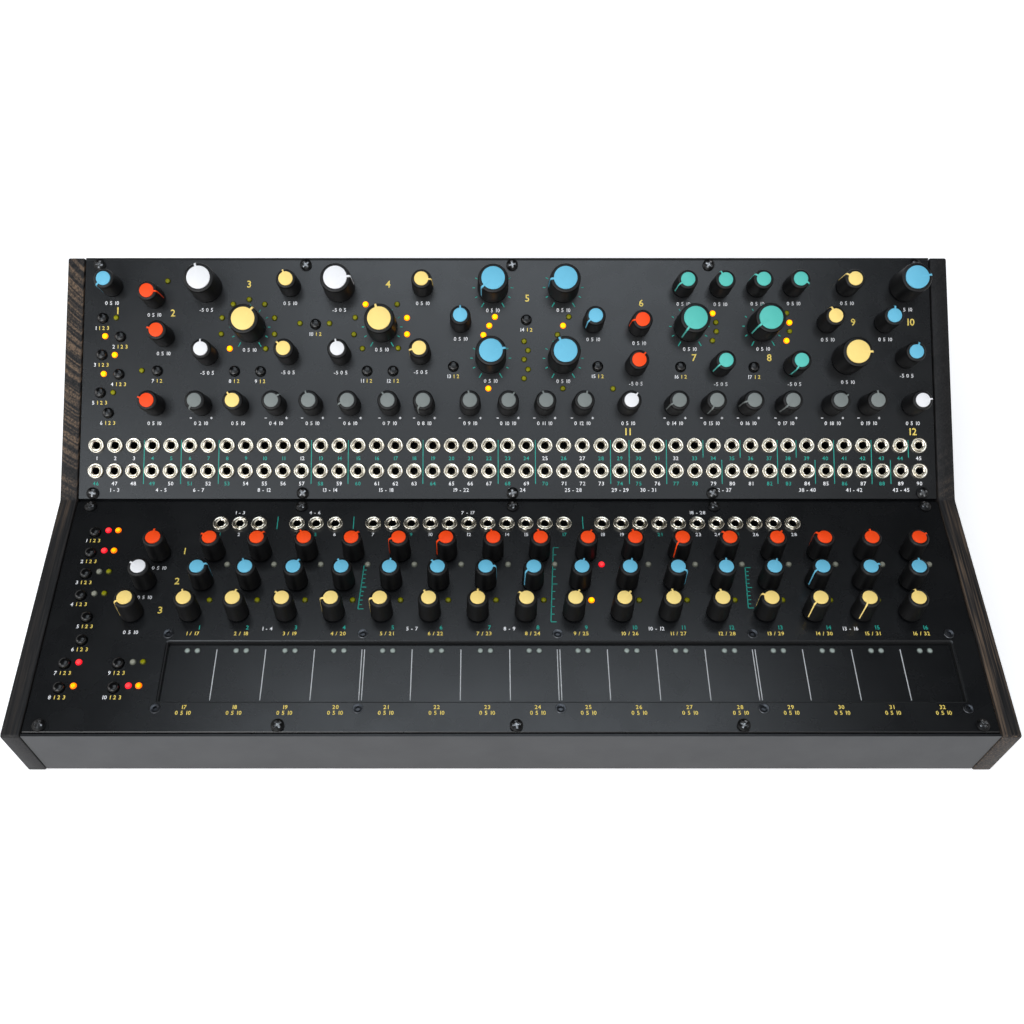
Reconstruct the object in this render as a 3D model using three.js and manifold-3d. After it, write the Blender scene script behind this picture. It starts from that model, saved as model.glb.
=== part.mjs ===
// Two-tier desktop modular synthesizer: a wooden-cheeked case with a level step-sequencer panel
// in front and a sloped voice panel behind it. Millimetres, +Z up, the front faces -Y.
// The origin lies on the ground under the middle of the object's outer box.
import * as THREE from "three";
import { mergeVertices } from "three/addons/utils/BufferGeometryUtils.js";
import Module from "manifold-3d";

const wasm = await Module();
wasm.setup();

// Panels
const panelWidth = 436.4;
const panelHeight = 124.7;
const panelThickness = 2;
const upperTilt = THREE.MathUtils.degToRad(29.2);
const bendGap = 1.7;

// Case
const cheekThickness = 8.6;
const cheekProud = 0.8;
const cheekFrontReach = 0.6;
const cheekBevel = 0.7;
const sheetThickness = 1.2;
const frontGap = 0.8;
const frontHeight = 39;
const trayLift = 0.8;
const footHeight = 3;
const footDepth = 12;
const footInset = 16;
const rearFlangeLength = 17;
const rearEdgeInset = 0.2;
const rearLipReach = 1.3;
const fitGap = 0.3;
const railWidthShare = 0.0505;
const railWidth = panelHeight * railWidthShare;
const railDepth = 6.5;
const railInset = 0.6;
const cutOverrun = 1;

// Panel screws: how far their row stands from the panel's edge, and their places in module pitches
const modulePitchShare = 0.01164;
const modulePitch = panelWidth * modulePitchShare;
const screwInset = 3;
const screwShares = [-41.5, -20.5, 0.5, 20.5, 41.5];
const screwHeadRadius = 3;
const screwHeadHeight = 1.9;
const screwShankWidth = 2.2;
const screwHoleWidth = 3;
const screwGrip = 4;

// Jack sockets: the upper panel's rows are measured from its foot, the lower panel's from its top
const jackPitchShare = 0.021826;
const jackPitch = panelWidth * jackPitchShare;
const jackBoreWidth = 3.7;
const jackNutRadius = 4.1;
const jackNutHeight = 1.8;
const jackBodyWidth = 9;
const jackBodyDepth = 14;
const jackCount = 45;
const upperJackRowRises = [27.5, 14.4];
const upperJackRowDowns = upperJackRowRises.map((rowRise) => panelHeight - rowRise);
const lowerJackRowDown = 13.6;
const lowerJackGroupShares = [
  [-15.07, 3],
  [-11.07, 3],
  [-7.07, 11],
  [4.93, 11],
];

// Circuit boards
const boardThickness = 1.6;
const potDepth = 6.5;
const potWidthShare = 0.08;
const largePotWidthShare = 0.0955;
const potWidth = panelHeight * potWidthShare;
const largePotWidth = panelHeight * largePotWidthShare;
const boardMargin = 4;
const upperBoardTopShare = 0.048;
const jackBoardMargin = 1.2;
const lowerBoardTopShare = 0.2;
const lowerBoardBottomShare = 0.5655;
const sideBoardTopShare = 0.096;
const sideBoardBottomShare = 0.882;
const sideBoardEdgeShare = -7.25;

// Knobs: radii at the skirt and at the top of the body, the coloured cap, and heights over the panel
const spindleRadius = 3;
const spindleHoleWidth = 6.8;
const knobLift = 0.8;
const smallKnob = { skirt: 5.5, top: 5, cap: 3.6, body: 14.6, height: 15 };
const largeKnob = { skirt: 8, top: 7.6, cap: 5.95, body: 17.75, height: 18.2 };
const capTaperShare = 0.97;
const movingKnobSides = 8;
const fixedKnobSides = 6;
const squareSides = 4;

// Push buttons
const buttonRadius = 2.6;
const buttonDomeRadius = 1.9;
const buttonShoulder = 1.9;
const buttonHeight = 2.6;
const buttonHoleWidth = 6.2;
const buttonStemWidth = 3.4;
const buttonTravel = 0.6;

// Places on the upper panel: across in jack pitches from the middle, down in panel heights,
// and the pointer's rest turn in degrees clockwise from straight up
const largeKnobShares = [
  ["coarse_tune_knob_1", -16.3, 0.118, -15],
  ["coarse_tune_knob_2", -9.1, 0.118, 85],
  ["rise_knob_1", -0.78, 0.12, -130],
  ["rise_knob_2", 3.04, 0.119, -95],
  ["time_knob", 21.55, 0.117, 80],
  ["timbre_knob", -13.91, 0.286, 40],
  ["reflection_knob", -6.77, 0.285, -15],
  ["dynamics_knob_1", 9.85, 0.283, -145],
  ["dynamics_knob_2", 13.81, 0.282, -125],
  ["fall_knob_1", -0.9, 0.416, 80],
  ["fall_knob_2", 3.01, 0.417, -25],
  ["feedback_knob", 18.33, 0.421, 90],
];
const smallKnobShares = [
  ["glide_knob", -21.41, 0.114, -135],
  ["steps_knob", -19.1, 0.164, 95],
  ["positive_knob", -11.76, 0.115, -20],
  ["pulse_width_knob", -4.58, 0.115, 95],
  ["input_knob_1", 9.54, 0.118, -120],
  ["response_knob_1", 11.54, 0.119, -30],
  ["input_knob_2", 13.55, 0.117, -60],
  ["response_knob_2", 15.51, 0.116, 120],
  ["size_knob", 18.4, 0.115, -60],
  ["density_knob", -18.55, 0.326, -75],
  ["shape_knob_1", -2.52, 0.265, 0],
  ["shape_knob_2", 4.64, 0.267, -130],
  ["amplifier_knob", 7.12, 0.283, -95],
  ["mix_knob_1", 17.31, 0.268, -25],
  ["mix_knob_2", 20.41, 0.267, 5],
];
const upperFixedKnobShares = [
  [-16.18, 0.403],
  [-11.83, 0.401],
  [-8.99, 0.402],
  [-4.68, 0.4],
  [6.91, 0.448],
  [11.48, 0.45],
  [15.45, 0.45],
  [21.5, 0.415],
];
const attenuverterRowShare = 0.6127;
const attenuverterShares = [
  -18.95, -16.45, -14.46, -12.42, -10.47, -8.44, -6.32, -4.46, -2, 0.03,
  2, 4.02, 6.48, 8.99, 10.96, 12.93, 14.95, 17.45, 19.4, 21.75,
];
const upperButtonShares = [
  ["upper_button_1", -21.87, 0.249],
  ["upper_button_2", -20.89, 0.327],
  ["upper_button_3", -21.87, 0.403],
  ["upper_button_4", -20.92, 0.484],
  ["upper_button_5", -21.9, 0.561],
  ["upper_button_6", -21.44, 0.645],
];
const upperFixedButtonShares = [
  [-18.86, 0.47],
  [-14.7, 0.471],
  [-13.3, 0.472],
  [-10.37, 0.274],
  [-7.56, 0.47],
  [-6.16, 0.47],
  [-2.91, 0.451],
  [1.03, 0.256],
  [4.87, 0.451],
  [9.34, 0.453],
  [13.29, 0.454],
];

// Places on the lower panel: across in step pitches from the middle, down in panel heights
const stepPitchShare = 0.052246;
const stepPitch = panelWidth * stepPitchShare;
const stepCount = 16;
const stepKnobRowShares = [
  [0.2455, -6.33],
  [0.3776, -6.49],
  [0.5137, -6.655],
];
const clockKnobShares = [
  ["tempo_knob", -7.52, 0],
  ["swing_knob", -7.71, -60],
  ["gate_length_knob", -7.86, -120],
];
const lowerButtonShares = [
  ["lower_button_1", -9.01, 0.15],
  ["lower_button_2", -9.01, 0.247],
  ["lower_button_3", -9.01, 0.343],
  ["lower_button_4", -9.01, 0.44],
];
const lowerFixedButtonShares = [
  [-8.78, 0.536],
  [-8.78, 0.633],
  [-9.02, 0.73],
  [-9.02, 0.828],
  [-7.93, 0.73],
  [-7.93, 0.828],
];

// Touch strip: a window in the lower panel with a board of sixteen pads under it
const windowTopShare = 0.6351;
const windowBottomShare = 0.8861;
const windowLeftShare = -7.03;
const windowRightShare = 9.08;
const touchBoardMargin = 5.6;

// Power entry on the back
const inletWidth = 22;
const inletHeight = 15;
const inletDepth = 24;
const inletWall = 2.4;
const inletFlange = 3;
const inletFlangeThickness = 1.2;
const inletAcrossShare = 0.7333;
const switchAcrossShare = 0.8983;
const entryHeight = 24;
const switchWidth = 14;
const switchHeight = 20;
const switchDepth = 14;
const switchWall = 1.5;
const rockerPivotDepth = 1.5;
const rockerCornerTurn = THREE.MathUtils.degToRad(18);
const rockerTip = THREE.MathUtils.degToRad(12);
const rockerFaceLift = 1.2;
const rockerBackDepth = 3.5;
const ventWidth = 3;
const ventHeight = 22;
const ventPitch = 9;
const ventCount = 7;
const ventAcrossShare = -0.6874;

// Power supply board on the tray
const supplyLength = 120;
const supplyWidth = 58;
const supplyStandoff = 6;
const supplyStandoffWidth = 7;
const supplyAcrossShare = 0.504;
const supplyInset = 34;
const supplyTallest = 26;
const supplyBlockShares = [
  { width: 0.25, depth: 0.414, height: 0.77, across: -0.25, back: 0.1 },
  { width: 0.15, depth: 0.31, height: 1, across: 0.1, back: -0.12 },
  { width: 0.217, depth: 0.172, height: 0.615, across: 0.32, back: 0.25 },
];

// Heights and depths that follow from the sizes above
const surface = footHeight + frontHeight;
const panelUnder = -panelThickness - fitGap;
const boardUnder = panelUnder - potDepth;
const trayTop = footHeight + trayLift + sheetThickness;
const wallInner = panelHeight + frontGap;
const wallOuter = wallInner + sheetThickness;
const cheekFront = wallOuter + cheekFrontReach;
const slope = new THREE.Vector2(Math.cos(upperTilt), Math.sin(upperTilt));
const rise = new THREE.Vector2(-Math.sin(upperTilt), Math.cos(upperTilt));
const rearFromBend =
  bendGap + (panelHeight - rearEdgeInset) * slope.x - rearFlangeLength * rise.x;
const rockerReach = switchHeight / 2 - switchWall - fitGap;
const rearmost =
  rearFromBend - rockerPivotDepth + rockerReach * Math.sin(rockerCornerTurn + rockerTip);
const bendY = (cheekFront - rearmost) / 2;
const rearY = bendY + rearFromBend;
const halfWidth = panelWidth / 2;
const cheekHalf = halfWidth + fitGap;
const attenuverterRowDown = panelHeight * attenuverterRowShare;
const windowTop = panelHeight * windowTopShare;
const windowBottom = panelHeight * windowBottomShare;
const stepKnobRows = stepKnobRowShares.map(([downShare, firstShare]) => ({
  down: downShare * panelHeight,
  firstShare,
}));
const inletAcross = halfWidth * inletAcrossShare;
const switchAcross = halfWidth * switchAcrossShare;
const ventAcross = halfWidth * ventAcrossShare;
const supplyAcross = halfWidth * supplyAcrossShare;

// The upper control board ends halfway between its last pots and the first row of jack bodies
const upperBoardBottom =
  (attenuverterRowDown + potWidth / 2 + upperJackRowDowns[0] - jackBodyWidth / 2) / 2;
const upperBoardTop = panelHeight * upperBoardTopShare;
const lowerBoardTop = panelHeight * lowerBoardTopShare;
const lowerBoardBottom = panelHeight * lowerBoardBottomShare;
const sideBoardTop = panelHeight * sideBoardTopShare;
const sideBoardBottom = panelHeight * sideBoardBottomShare;

// A point of the side view, measured down the lower panel and out of it.
function lowerAt(down, out) {
  return new THREE.Vector2(bendY - down, surface + out);
}

// A point of the side view, measured down the upper panel from its top edge and out of it.
function upperAt(down, out) {
  return new THREE.Vector2(bendY + bendGap, surface)
    .addScaledVector(slope, panelHeight - down)
    .addScaledVector(rise, out);
}

const lowerFrame = new THREE.Matrix4().makeTranslation(0, bendY, surface);
const upperTopEdge = upperAt(0, 0);
const upperFrame = new THREE.Matrix4()
  .makeTranslation(0, upperTopEdge.x, upperTopEdge.y)
  .multiply(new THREE.Matrix4().makeRotationX(upperTilt));

// Solids and their joins
function solidOf(geometry) {
  const bare = geometry.clone();
  bare.deleteAttribute("normal");
  bare.deleteAttribute("uv");
  const merged = mergeVertices(bare, 1e-4);
  return new wasm.Manifold(
    new wasm.Mesh({
      numProp: 3,
      vertProperties: new Float32Array(merged.attributes.position.array),
      triVerts: new Uint32Array(merged.index.array),
    }),
  );
}

function joined(solids) {
  return solids.reduce((whole, piece) => whole.add(piece));
}

function geometryOf(solid) {
  const { vertProperties, triVerts } = solid.getMesh();
  const geometry = new THREE.BufferGeometry();
  geometry.setAttribute("position", new THREE.BufferAttribute(vertProperties, 3));
  geometry.setIndex(new THREE.BufferAttribute(triVerts, 1));
  geometry.computeVertexNormals();
  return geometry;
}

function blockGeometry(left, right, front, back, bottom, top) {
  return new THREE.BoxGeometry(right - left, back - front, top - bottom).translate(
    (left + right) / 2,
    (front + back) / 2,
    (bottom + top) / 2,
  );
}

function block(left, right, front, back, bottom, top) {
  return solidOf(blockGeometry(left, right, front, back, bottom, top));
}

// An upright prism; a four-sided one stands square to the panel's edges.
function post(x, y, radius, sides, bottom, top) {
  const geometry = new THREE.CylinderGeometry(radius, radius, top - bottom, sides);
  geometry.rotateX(Math.PI / 2);
  if (sides === squareSides) geometry.rotateZ(Math.PI / squareSides);
  geometry.translate(x, y, (bottom + top) / 2);
  return solidOf(geometry);
}

function squarePost(x, y, width, bottom, top) {
  return block(x - width / 2, x + width / 2, y - width / 2, y + width / 2, bottom, top);
}

// A bar that runs across the whole width with the given side view.
function crossBar(points, left, right) {
  const geometry = new THREE.ExtrudeGeometry(new THREE.Shape(points), {
    depth: right - left,
    bevelEnabled: false,
  });
  geometry.applyMatrix4(
    new THREE.Matrix4().makeBasis(
      new THREE.Vector3(0, 1, 0),
      new THREE.Vector3(0, 0, 1),
      new THREE.Vector3(1, 0, 0),
    ),
  );
  return geometry.translate(left, 0, 0);
}

// Materials
function finish(color, roughness, metalness) {
  return new THREE.MeshStandardMaterial({ color, roughness, metalness });
}
const panelBlack = finish(0x1b1d20, 0.45, 0.4);
const sheetBlack = finish(0x222326, 0.5, 0.5);
const darkWood = finish(0x2a1f18, 0.6, 0);
const aluminium = finish(0x8d9094, 0.4, 0.9);
const boardGreen = finish(0x16351f, 0.6, 0);
const touchBlack = finish(0x101214, 0.3, 0);
const knobRubber = finish(0x141416, 0.7, 0);
const buttonBlack = finish(0x0e0e10, 0.4, 0);
const footRubber = finish(0x101010, 0.9, 0);
const plasticBlack = finish(0x18181a, 0.5, 0);

const synthesizer = new THREE.Group();
const upperGroup = new THREE.Group();
upperGroup.applyMatrix4(upperFrame);
const lowerGroup = new THREE.Group();
lowerGroup.applyMatrix4(lowerFrame);
synthesizer.add(upperGroup, lowerGroup);

function addPiece(parent, name, geometry, material) {
  const mesh = new THREE.Mesh(geometry, material);
  mesh.name = name;
  parent.add(mesh);
  return mesh;
}

// Wooden cheeks
const cheekOutline = [
  new THREE.Vector2(bendY - cheekFront, footHeight),
  new THREE.Vector2(rearY, footHeight),
  new THREE.Vector2(rearY, upperAt(rearEdgeInset, -rearFlangeLength).y),
  upperAt(-cheekProud, cheekProud),
  new THREE.Vector2(
    bendY + bendGap / 2 - cheekProud * Math.tan(upperTilt / 2),
    surface + cheekProud,
  ),
  new THREE.Vector2(bendY - cheekFront, surface + cheekProud),
];

function cheekGeometry(left) {
  const geometry = new THREE.ExtrudeGeometry(new THREE.Shape(cheekOutline), {
    depth: cheekThickness - 2 * cheekBevel,
    bevelThickness: cheekBevel,
    bevelSize: cheekBevel,
    bevelOffset: -cheekBevel,
    bevelSegments: 1,
  });
  geometry.applyMatrix4(
    new THREE.Matrix4().makeBasis(
      new THREE.Vector3(0, 1, 0),
      new THREE.Vector3(0, 0, 1),
      new THREE.Vector3(1, 0, 0),
    ),
  );
  return geometry.translate(left + cheekBevel, 0, 0);
}
addPiece(synthesizer, "left_cheek", cheekGeometry(-cheekHalf - cheekThickness), darkWood);
addPiece(synthesizer, "right_cheek", cheekGeometry(cheekHalf), darkWood);

// Bent steel tray: the bottom and the front wall
const trayBottom = footHeight + trayLift;
const trayOutline = [
  new THREE.Vector2(bendY - wallOuter, trayBottom),
  new THREE.Vector2(rearY - sheetThickness - fitGap, trayBottom),
  new THREE.Vector2(rearY - sheetThickness - fitGap, trayTop),
  new THREE.Vector2(bendY - wallInner, trayTop),
  new THREE.Vector2(bendY - wallInner, surface),
  new THREE.Vector2(bendY - wallOuter, surface),
];
addPiece(synthesizer, "case_tray", crossBar(trayOutline, -halfWidth, halfWidth), sheetBlack);

// Bent steel back with the power entry and vents, and a lip that shows behind the upper panel
const flangeTurn = sheetThickness * Math.tan(upperTilt / 2);
const backOutline = [
  new THREE.Vector2(rearY, trayBottom),
  upperAt(rearEdgeInset, -rearFlangeLength),
  upperAt(rearEdgeInset, panelUnder - sheetThickness),
  upperAt(-rearLipReach, panelUnder - sheetThickness),
  upperAt(-rearLipReach, panelUnder),
  upperAt(rearEdgeInset + sheetThickness, panelUnder),
  upperAt(rearEdgeInset + sheetThickness, -rearFlangeLength + flangeTurn),
  new THREE.Vector2(rearY - sheetThickness, trayBottom),
];
const entryZ = footHeight + entryHeight;
function backCut(across, width, height, middle) {
  return block(
    across - width / 2,
    across + width / 2,
    rearY - sheetThickness - cutOverrun,
    rearY + cutOverrun,
    middle - height / 2,
    middle + height / 2,
  );
}
let back = solidOf(crossBar(backOutline, -halfWidth, halfWidth));
back = back.subtract(
  backCut(inletAcross, inletWidth + 2 * fitGap, inletHeight + 2 * fitGap, entryZ),
);
back = back.subtract(
  backCut(switchAcross, switchWidth + 2 * fitGap, switchHeight + 2 * fitGap, entryZ),
);
for (let i = 0; i < ventCount; i++) {
  back = back.subtract(
    backCut(ventAcross + (i - (ventCount - 1) / 2) * ventPitch, ventWidth, ventHeight, entryZ),
  );
}
addPiece(synthesizer, "rear_panel", geometryOf(back), sheetBlack);

// Threaded rails with the panel screws that hold the panels down on them
function screwPlaces() {
  return screwShares.map((share) => share * modulePitch);
}

function screwsAt(down, frame) {
  return screwPlaces().map((x) =>
    solidOf(
      geometryOf(
        squarePost(x, -down, screwShankWidth, panelUnder - screwGrip, fitGap + screwHeadHeight / 2).add(
          post(x, -down, screwHeadRadius, fixedKnobSides, fitGap, fitGap + screwHeadHeight),
        ),
      ).applyMatrix4(frame),
    ),
  );
}
const still = new THREE.Matrix4();
const railTop = rearEdgeInset + sheetThickness + fitGap;
const topRail = joined([
  block(
    -halfWidth,
    halfWidth,
    -railTop - railWidth,
    -railTop,
    panelUnder - railDepth,
    panelUnder,
  ),
  ...screwsAt(screwInset, still),
]);
addPiece(upperGroup, "top_rail", geometryOf(topRail), aluminium);

const bendRailOutline = [
  lowerAt(railInset + railWidth, panelUnder - railDepth),
  upperAt(panelHeight - railInset - railWidth, panelUnder - railDepth),
  upperAt(panelHeight - railInset - railWidth, panelUnder),
  upperAt(panelHeight - railInset, panelUnder),
  lowerAt(railInset, panelUnder),
  lowerAt(railInset + railWidth, panelUnder),
];
const bendRail = joined([
  solidOf(crossBar(bendRailOutline, -halfWidth, halfWidth)),
  ...screwsAt(screwInset, lowerFrame),
  ...screwsAt(panelHeight - screwInset, upperFrame),
]);
addPiece(synthesizer, "bend_rail", geometryOf(bendRail), aluminium);

const frontRail = joined([
  block(
    -halfWidth,
    halfWidth,
    -wallInner + fitGap,
    -wallInner + fitGap + railWidth,
    panelUnder - railDepth,
    panelUnder,
  ),
  ...screwsAt(panelHeight - screwInset, still),
]);
addPiece(lowerGroup, "front_rail", geometryOf(frontRail), aluminium);

// Rubber strips under the tray
function footStrip(front) {
  return blockGeometry(
    -halfWidth + footInset,
    halfWidth - footInset,
    front,
    front + footDepth,
    0,
    trayBottom - fitGap,
  );
}
addPiece(synthesizer, "front_foot_strip", footStrip(bendY - wallOuter + footInset), footRubber);
addPiece(synthesizer, "rear_foot_strip", footStrip(rearY - footInset - footDepth), footRubber);

// Places of the controls as [across, down] in each panel's own frame
function upperPlace(acrossShare, downShare) {
  return [acrossShare * jackPitch, downShare * panelHeight];
}

function lowerPlace(acrossShare, downShare) {
  return [acrossShare * stepPitch, downShare * panelHeight];
}
const upperLarge = largeKnobShares.map(([name, a, d, turn]) => ({
  name,
  place: upperPlace(a, d),
  turn,
}));
const upperSmall = smallKnobShares.map(([name, a, d, turn]) => ({
  name,
  place: upperPlace(a, d),
  turn,
}));
const upperFixed = upperFixedKnobShares.map(([a, d]) => upperPlace(a, d));
const attenuverters = attenuverterShares.map((a) => [a * jackPitch, attenuverterRowDown]);
const clockKnobs = clockKnobShares.map(([name, a, turn], row) => ({
  name,
  place: [a * stepPitch, stepKnobRows[row].down],
  turn,
}));
const stepKnobs = stepKnobRows.flatMap(({ down, firstShare }) =>
  Array.from({ length: stepCount }, (_, i) => [(firstShare + i) * stepPitch, down]),
);
const upperButtons = upperButtonShares.map(([name, a, d]) => ({ name, place: upperPlace(a, d) }));
const upperStillButtons = upperFixedButtonShares.map(([a, d]) => upperPlace(a, d));
const lowerButtons = lowerButtonShares.map(([name, a, d]) => ({ name, place: lowerPlace(a, d) }));
const lowerStillButtons = lowerFixedButtonShares.map(([a, d]) => lowerPlace(a, d));
const upperJacks = upperJackRowDowns.flatMap((down) =>
  Array.from({ length: jackCount }, (_, i) => [(i - (jackCount - 1) / 2) * jackPitch, down]),
);
const lowerJacks = lowerJackGroupShares.flatMap(([firstShare, count]) =>
  Array.from({ length: count }, (_, i) => [(firstShare + i) * jackPitch, lowerJackRowDown]),
);

// Panels: drilled plates with the sockets' nuts clamped on them
function drilledPanel({ knobs, buttons, jacks }) {
  let plate = block(-halfWidth, halfWidth, -panelHeight, 0, -panelThickness, 0);
  for (const [x, down] of jacks) {
    plate = plate.add(
      post(x, -down, jackNutRadius, fixedKnobSides, -panelThickness / 2, jackNutHeight),
    );
  }
  const low = -panelThickness - cutOverrun;
  const high = jackNutHeight + cutOverrun;
  const cuts = [
    ...jacks.map(([x, down]) => squarePost(x, -down, jackBoreWidth, low, high)),
    ...knobs.map(([x, down]) => squarePost(x, -down, spindleHoleWidth, low, high)),
    ...buttons.map(([x, down]) => squarePost(x, -down, buttonHoleWidth, low, high)),
    ...[screwInset, panelHeight - screwInset].flatMap((down) =>
      screwPlaces().map((x) => squarePost(x, -down, screwHoleWidth, low, high)),
    ),
  ];
  return plate.subtract(joined(cuts));
}
const upperPanel = drilledPanel({
  knobs: [
    ...upperLarge.map(({ place }) => place),
    ...upperSmall.map(({ place }) => place),
    ...upperFixed,
    ...attenuverters,
  ],
  buttons: [...upperButtons.map(({ place }) => place), ...upperStillButtons],
  jacks: upperJacks,
});
addPiece(upperGroup, "upper_panel", geometryOf(upperPanel), panelBlack);

const windowLeft = windowLeftShare * stepPitch;
const windowRight = windowRightShare * stepPitch;
const lowerPanel = drilledPanel({
  knobs: [...clockKnobs.map(({ place }) => place), ...stepKnobs],
  buttons: [...lowerButtons.map(({ place }) => place), ...lowerStillButtons],
  jacks: lowerJacks,
}).subtract(
  block(
    windowLeft,
    windowRight,
    -windowBottom,
    -windowTop,
    -panelThickness - cutOverrun,
    cutOverrun,
  ),
);
addPiece(lowerGroup, "lower_panel", geometryOf(lowerPanel), panelBlack);

// Touch board behind the window
addPiece(
  lowerGroup,
  "touch_board",
  blockGeometry(
    windowLeft - touchBoardMargin,
    windowRight + touchBoardMargin,
    -windowBottom - touchBoardMargin,
    -windowTop + touchBoardMargin,
    panelUnder - boardThickness,
    panelUnder,
  ),
  touchBlack,
);

// Jack boards: each row of socket bodies is a bar with a slot that the plugs go down into
function jackBar(left, right, down) {
  const bar = block(
    left,
    right,
    -down - jackBodyWidth / 2,
    -down + jackBodyWidth / 2,
    panelUnder - jackBodyDepth,
    panelUnder,
  );
  return bar.subtract(
    block(
      left + fitGap,
      right - fitGap,
      -down - jackBoreWidth / 2,
      -down + jackBoreWidth / 2,
      panelUnder - jackBodyDepth + boardThickness,
      panelUnder + cutOverrun,
    ),
  );
}

function jackBoard(left, right, rows) {
  const halfBody = jackBodyWidth / 2 + jackBoardMargin;
  const plate = block(
    left,
    right,
    -Math.max(...rows) - halfBody,
    -Math.min(...rows) + halfBody,
    panelUnder - jackBodyDepth - boardThickness,
    panelUnder - jackBodyDepth,
  );
  return joined([plate, ...rows.map((down) => jackBar(left, right, down))]);
}
const jackHalf = (jackCount * jackPitch) / 2;
addPiece(
  upperGroup,
  "upper_jack_board",
  geometryOf(jackBoard(-jackHalf, jackHalf, upperJackRowDowns)),
  boardGreen,
);
const lowerJackX = lowerJacks.map(([x]) => x);
addPiece(
  lowerGroup,
  "lower_jack_board",
  geometryOf(
    jackBoard(
      Math.min(...lowerJackX) - jackPitch / 2,
      Math.max(...lowerJackX) + jackPitch / 2,
      [lowerJackRowDown],
    ),
  ),
  boardGreen,
);

// Control boards: potentiometers, the knobs that stay joined to them by their shafts, and buttons
function potBlock([x, down], width) {
  return squarePost(x, -down, width, boardUnder, panelUnder);
}

function potBar(left, right, down) {
  return block(left, right, -down - potWidth / 2, -down + potWidth / 2, boardUnder, panelUnder);
}

function fixedKnob([x, down]) {
  const { skirt, height } = smallKnob;
  const shaft = squarePost(x, -down, spindleRadius * Math.SQRT2, boardUnder, knobLift + fitGap);
  return shaft.add(post(x, -down, skirt, fixedKnobSides, knobLift, height));
}

function fixedButton([x, down]) {
  return post(x, -down, buttonRadius, fixedKnobSides, boardUnder - fitGap, buttonHeight);
}

// The switch body that a moving button's stem presses
function buttonSwitch([x, down]) {
  return squarePost(x, -down, 2 * buttonRadius, boardUnder, -panelThickness - potDepth / 2);
}
const pressGap = buttonTravel + fitGap;
const stemEnd = -panelThickness - potDepth / 2 + pressGap;
const edge = halfWidth - boardMargin;
const upperBoard = joined([
  block(-edge, edge, -upperBoardBottom, -upperBoardTop, boardUnder - boardThickness, boardUnder),
  ...upperLarge.map(({ place }) => potBlock(place, largePotWidth)),
  ...upperSmall.map(({ place }) => potBlock(place, potWidth)),
  ...upperFixed.map((place) => potBlock(place, potWidth)),
  potBar(
    attenuverters[0][0] - potWidth / 2,
    attenuverters[attenuverters.length - 1][0] + potWidth / 2,
    attenuverterRowDown,
  ),
  ...[...upperFixed, ...attenuverters].map(fixedKnob),
  ...upperButtons.map(({ place }) => buttonSwitch(place)),
  ...upperStillButtons.map(fixedButton),
]);
addPiece(upperGroup, "upper_control_board", geometryOf(upperBoard), boardGreen);

const sideEdge = sideBoardEdgeShare * stepPitch;
const lowerBoardOutline = [
  new THREE.Vector2(-edge, -sideBoardTop),
  new THREE.Vector2(-edge, -sideBoardBottom),
  new THREE.Vector2(sideEdge, -sideBoardBottom),
  new THREE.Vector2(sideEdge, -lowerBoardBottom),
  new THREE.Vector2(edge, -lowerBoardBottom),
  new THREE.Vector2(edge, -lowerBoardTop),
  new THREE.Vector2(sideEdge, -lowerBoardTop),
  new THREE.Vector2(sideEdge, -sideBoardTop),
];
const lowerBoard = joined([
  solidOf(
    new THREE.ExtrudeGeometry(new THREE.Shape(lowerBoardOutline), {
      depth: boardThickness,
      bevelEnabled: false,
    }).translate(0, 0, boardUnder - boardThickness),
  ),
  ...stepKnobRows.map(({ down, firstShare }, row) =>
    potBar(
      clockKnobs[row].place[0] - potWidth / 2,
      (firstShare + stepCount - 1) * stepPitch + potWidth / 2,
      down,
    ),
  ),
  ...stepKnobs.map(fixedKnob),
  ...lowerButtons.map(({ place }) => buttonSwitch(place)),
  ...lowerStillButtons.map(fixedButton),
]);
addPiece(lowerGroup, "lower_control_board", geometryOf(lowerBoard), boardGreen);

// Turning knobs, each with its spindle down through the panel
function knobGeometry({ skirt, top, cap, body, height }) {
  const profile = [
    new THREE.Vector2(0, -panelThickness),
    new THREE.Vector2(spindleRadius, -panelThickness),
    new THREE.Vector2(spindleRadius, knobLift),
    new THREE.Vector2(skirt, knobLift),
    new THREE.Vector2(top, body),
    new THREE.Vector2(cap, body),
    new THREE.Vector2(cap * capTaperShare, height),
    new THREE.Vector2(0, height),
  ];
  return new THREE.LatheGeometry(profile, movingKnobSides).rotateX(Math.PI / 2);
}

function addKnobs(parent, knobs, sizes) {
  for (const { name, place, turn } of knobs) {
    const knob = addPiece(parent, name, knobGeometry(sizes), knobRubber);
    knob.position.set(place[0], -place[1], 0);
    knob.rotation.z = -THREE.MathUtils.degToRad(turn);
  }
}
addKnobs(upperGroup, upperLarge, largeKnob);
addKnobs(upperGroup, upperSmall, smallKnob);
addKnobs(lowerGroup, clockKnobs, smallKnob);

// Push buttons, each a domed cap on a stem
function buttonGeometry() {
  const profile = [
    new THREE.Vector2(0, stemEnd),
    new THREE.Vector2(buttonStemWidth / 2, stemEnd),
    new THREE.Vector2(buttonRadius, -panelThickness / 2),
    new THREE.Vector2(buttonRadius, buttonShoulder),
    new THREE.Vector2(buttonDomeRadius, buttonHeight),
    new THREE.Vector2(0, buttonHeight),
  ];
  return new THREE.LatheGeometry(profile, movingKnobSides).rotateX(Math.PI / 2);
}

function addButtons(parent, buttons) {
  for (const { name, place } of buttons) {
    const button = addPiece(parent, name, buttonGeometry(), buttonBlack);
    button.position.set(place[0], -place[1], 0);
  }
}
addButtons(upperGroup, upperButtons);
addButtons(lowerGroup, lowerButtons);

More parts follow.
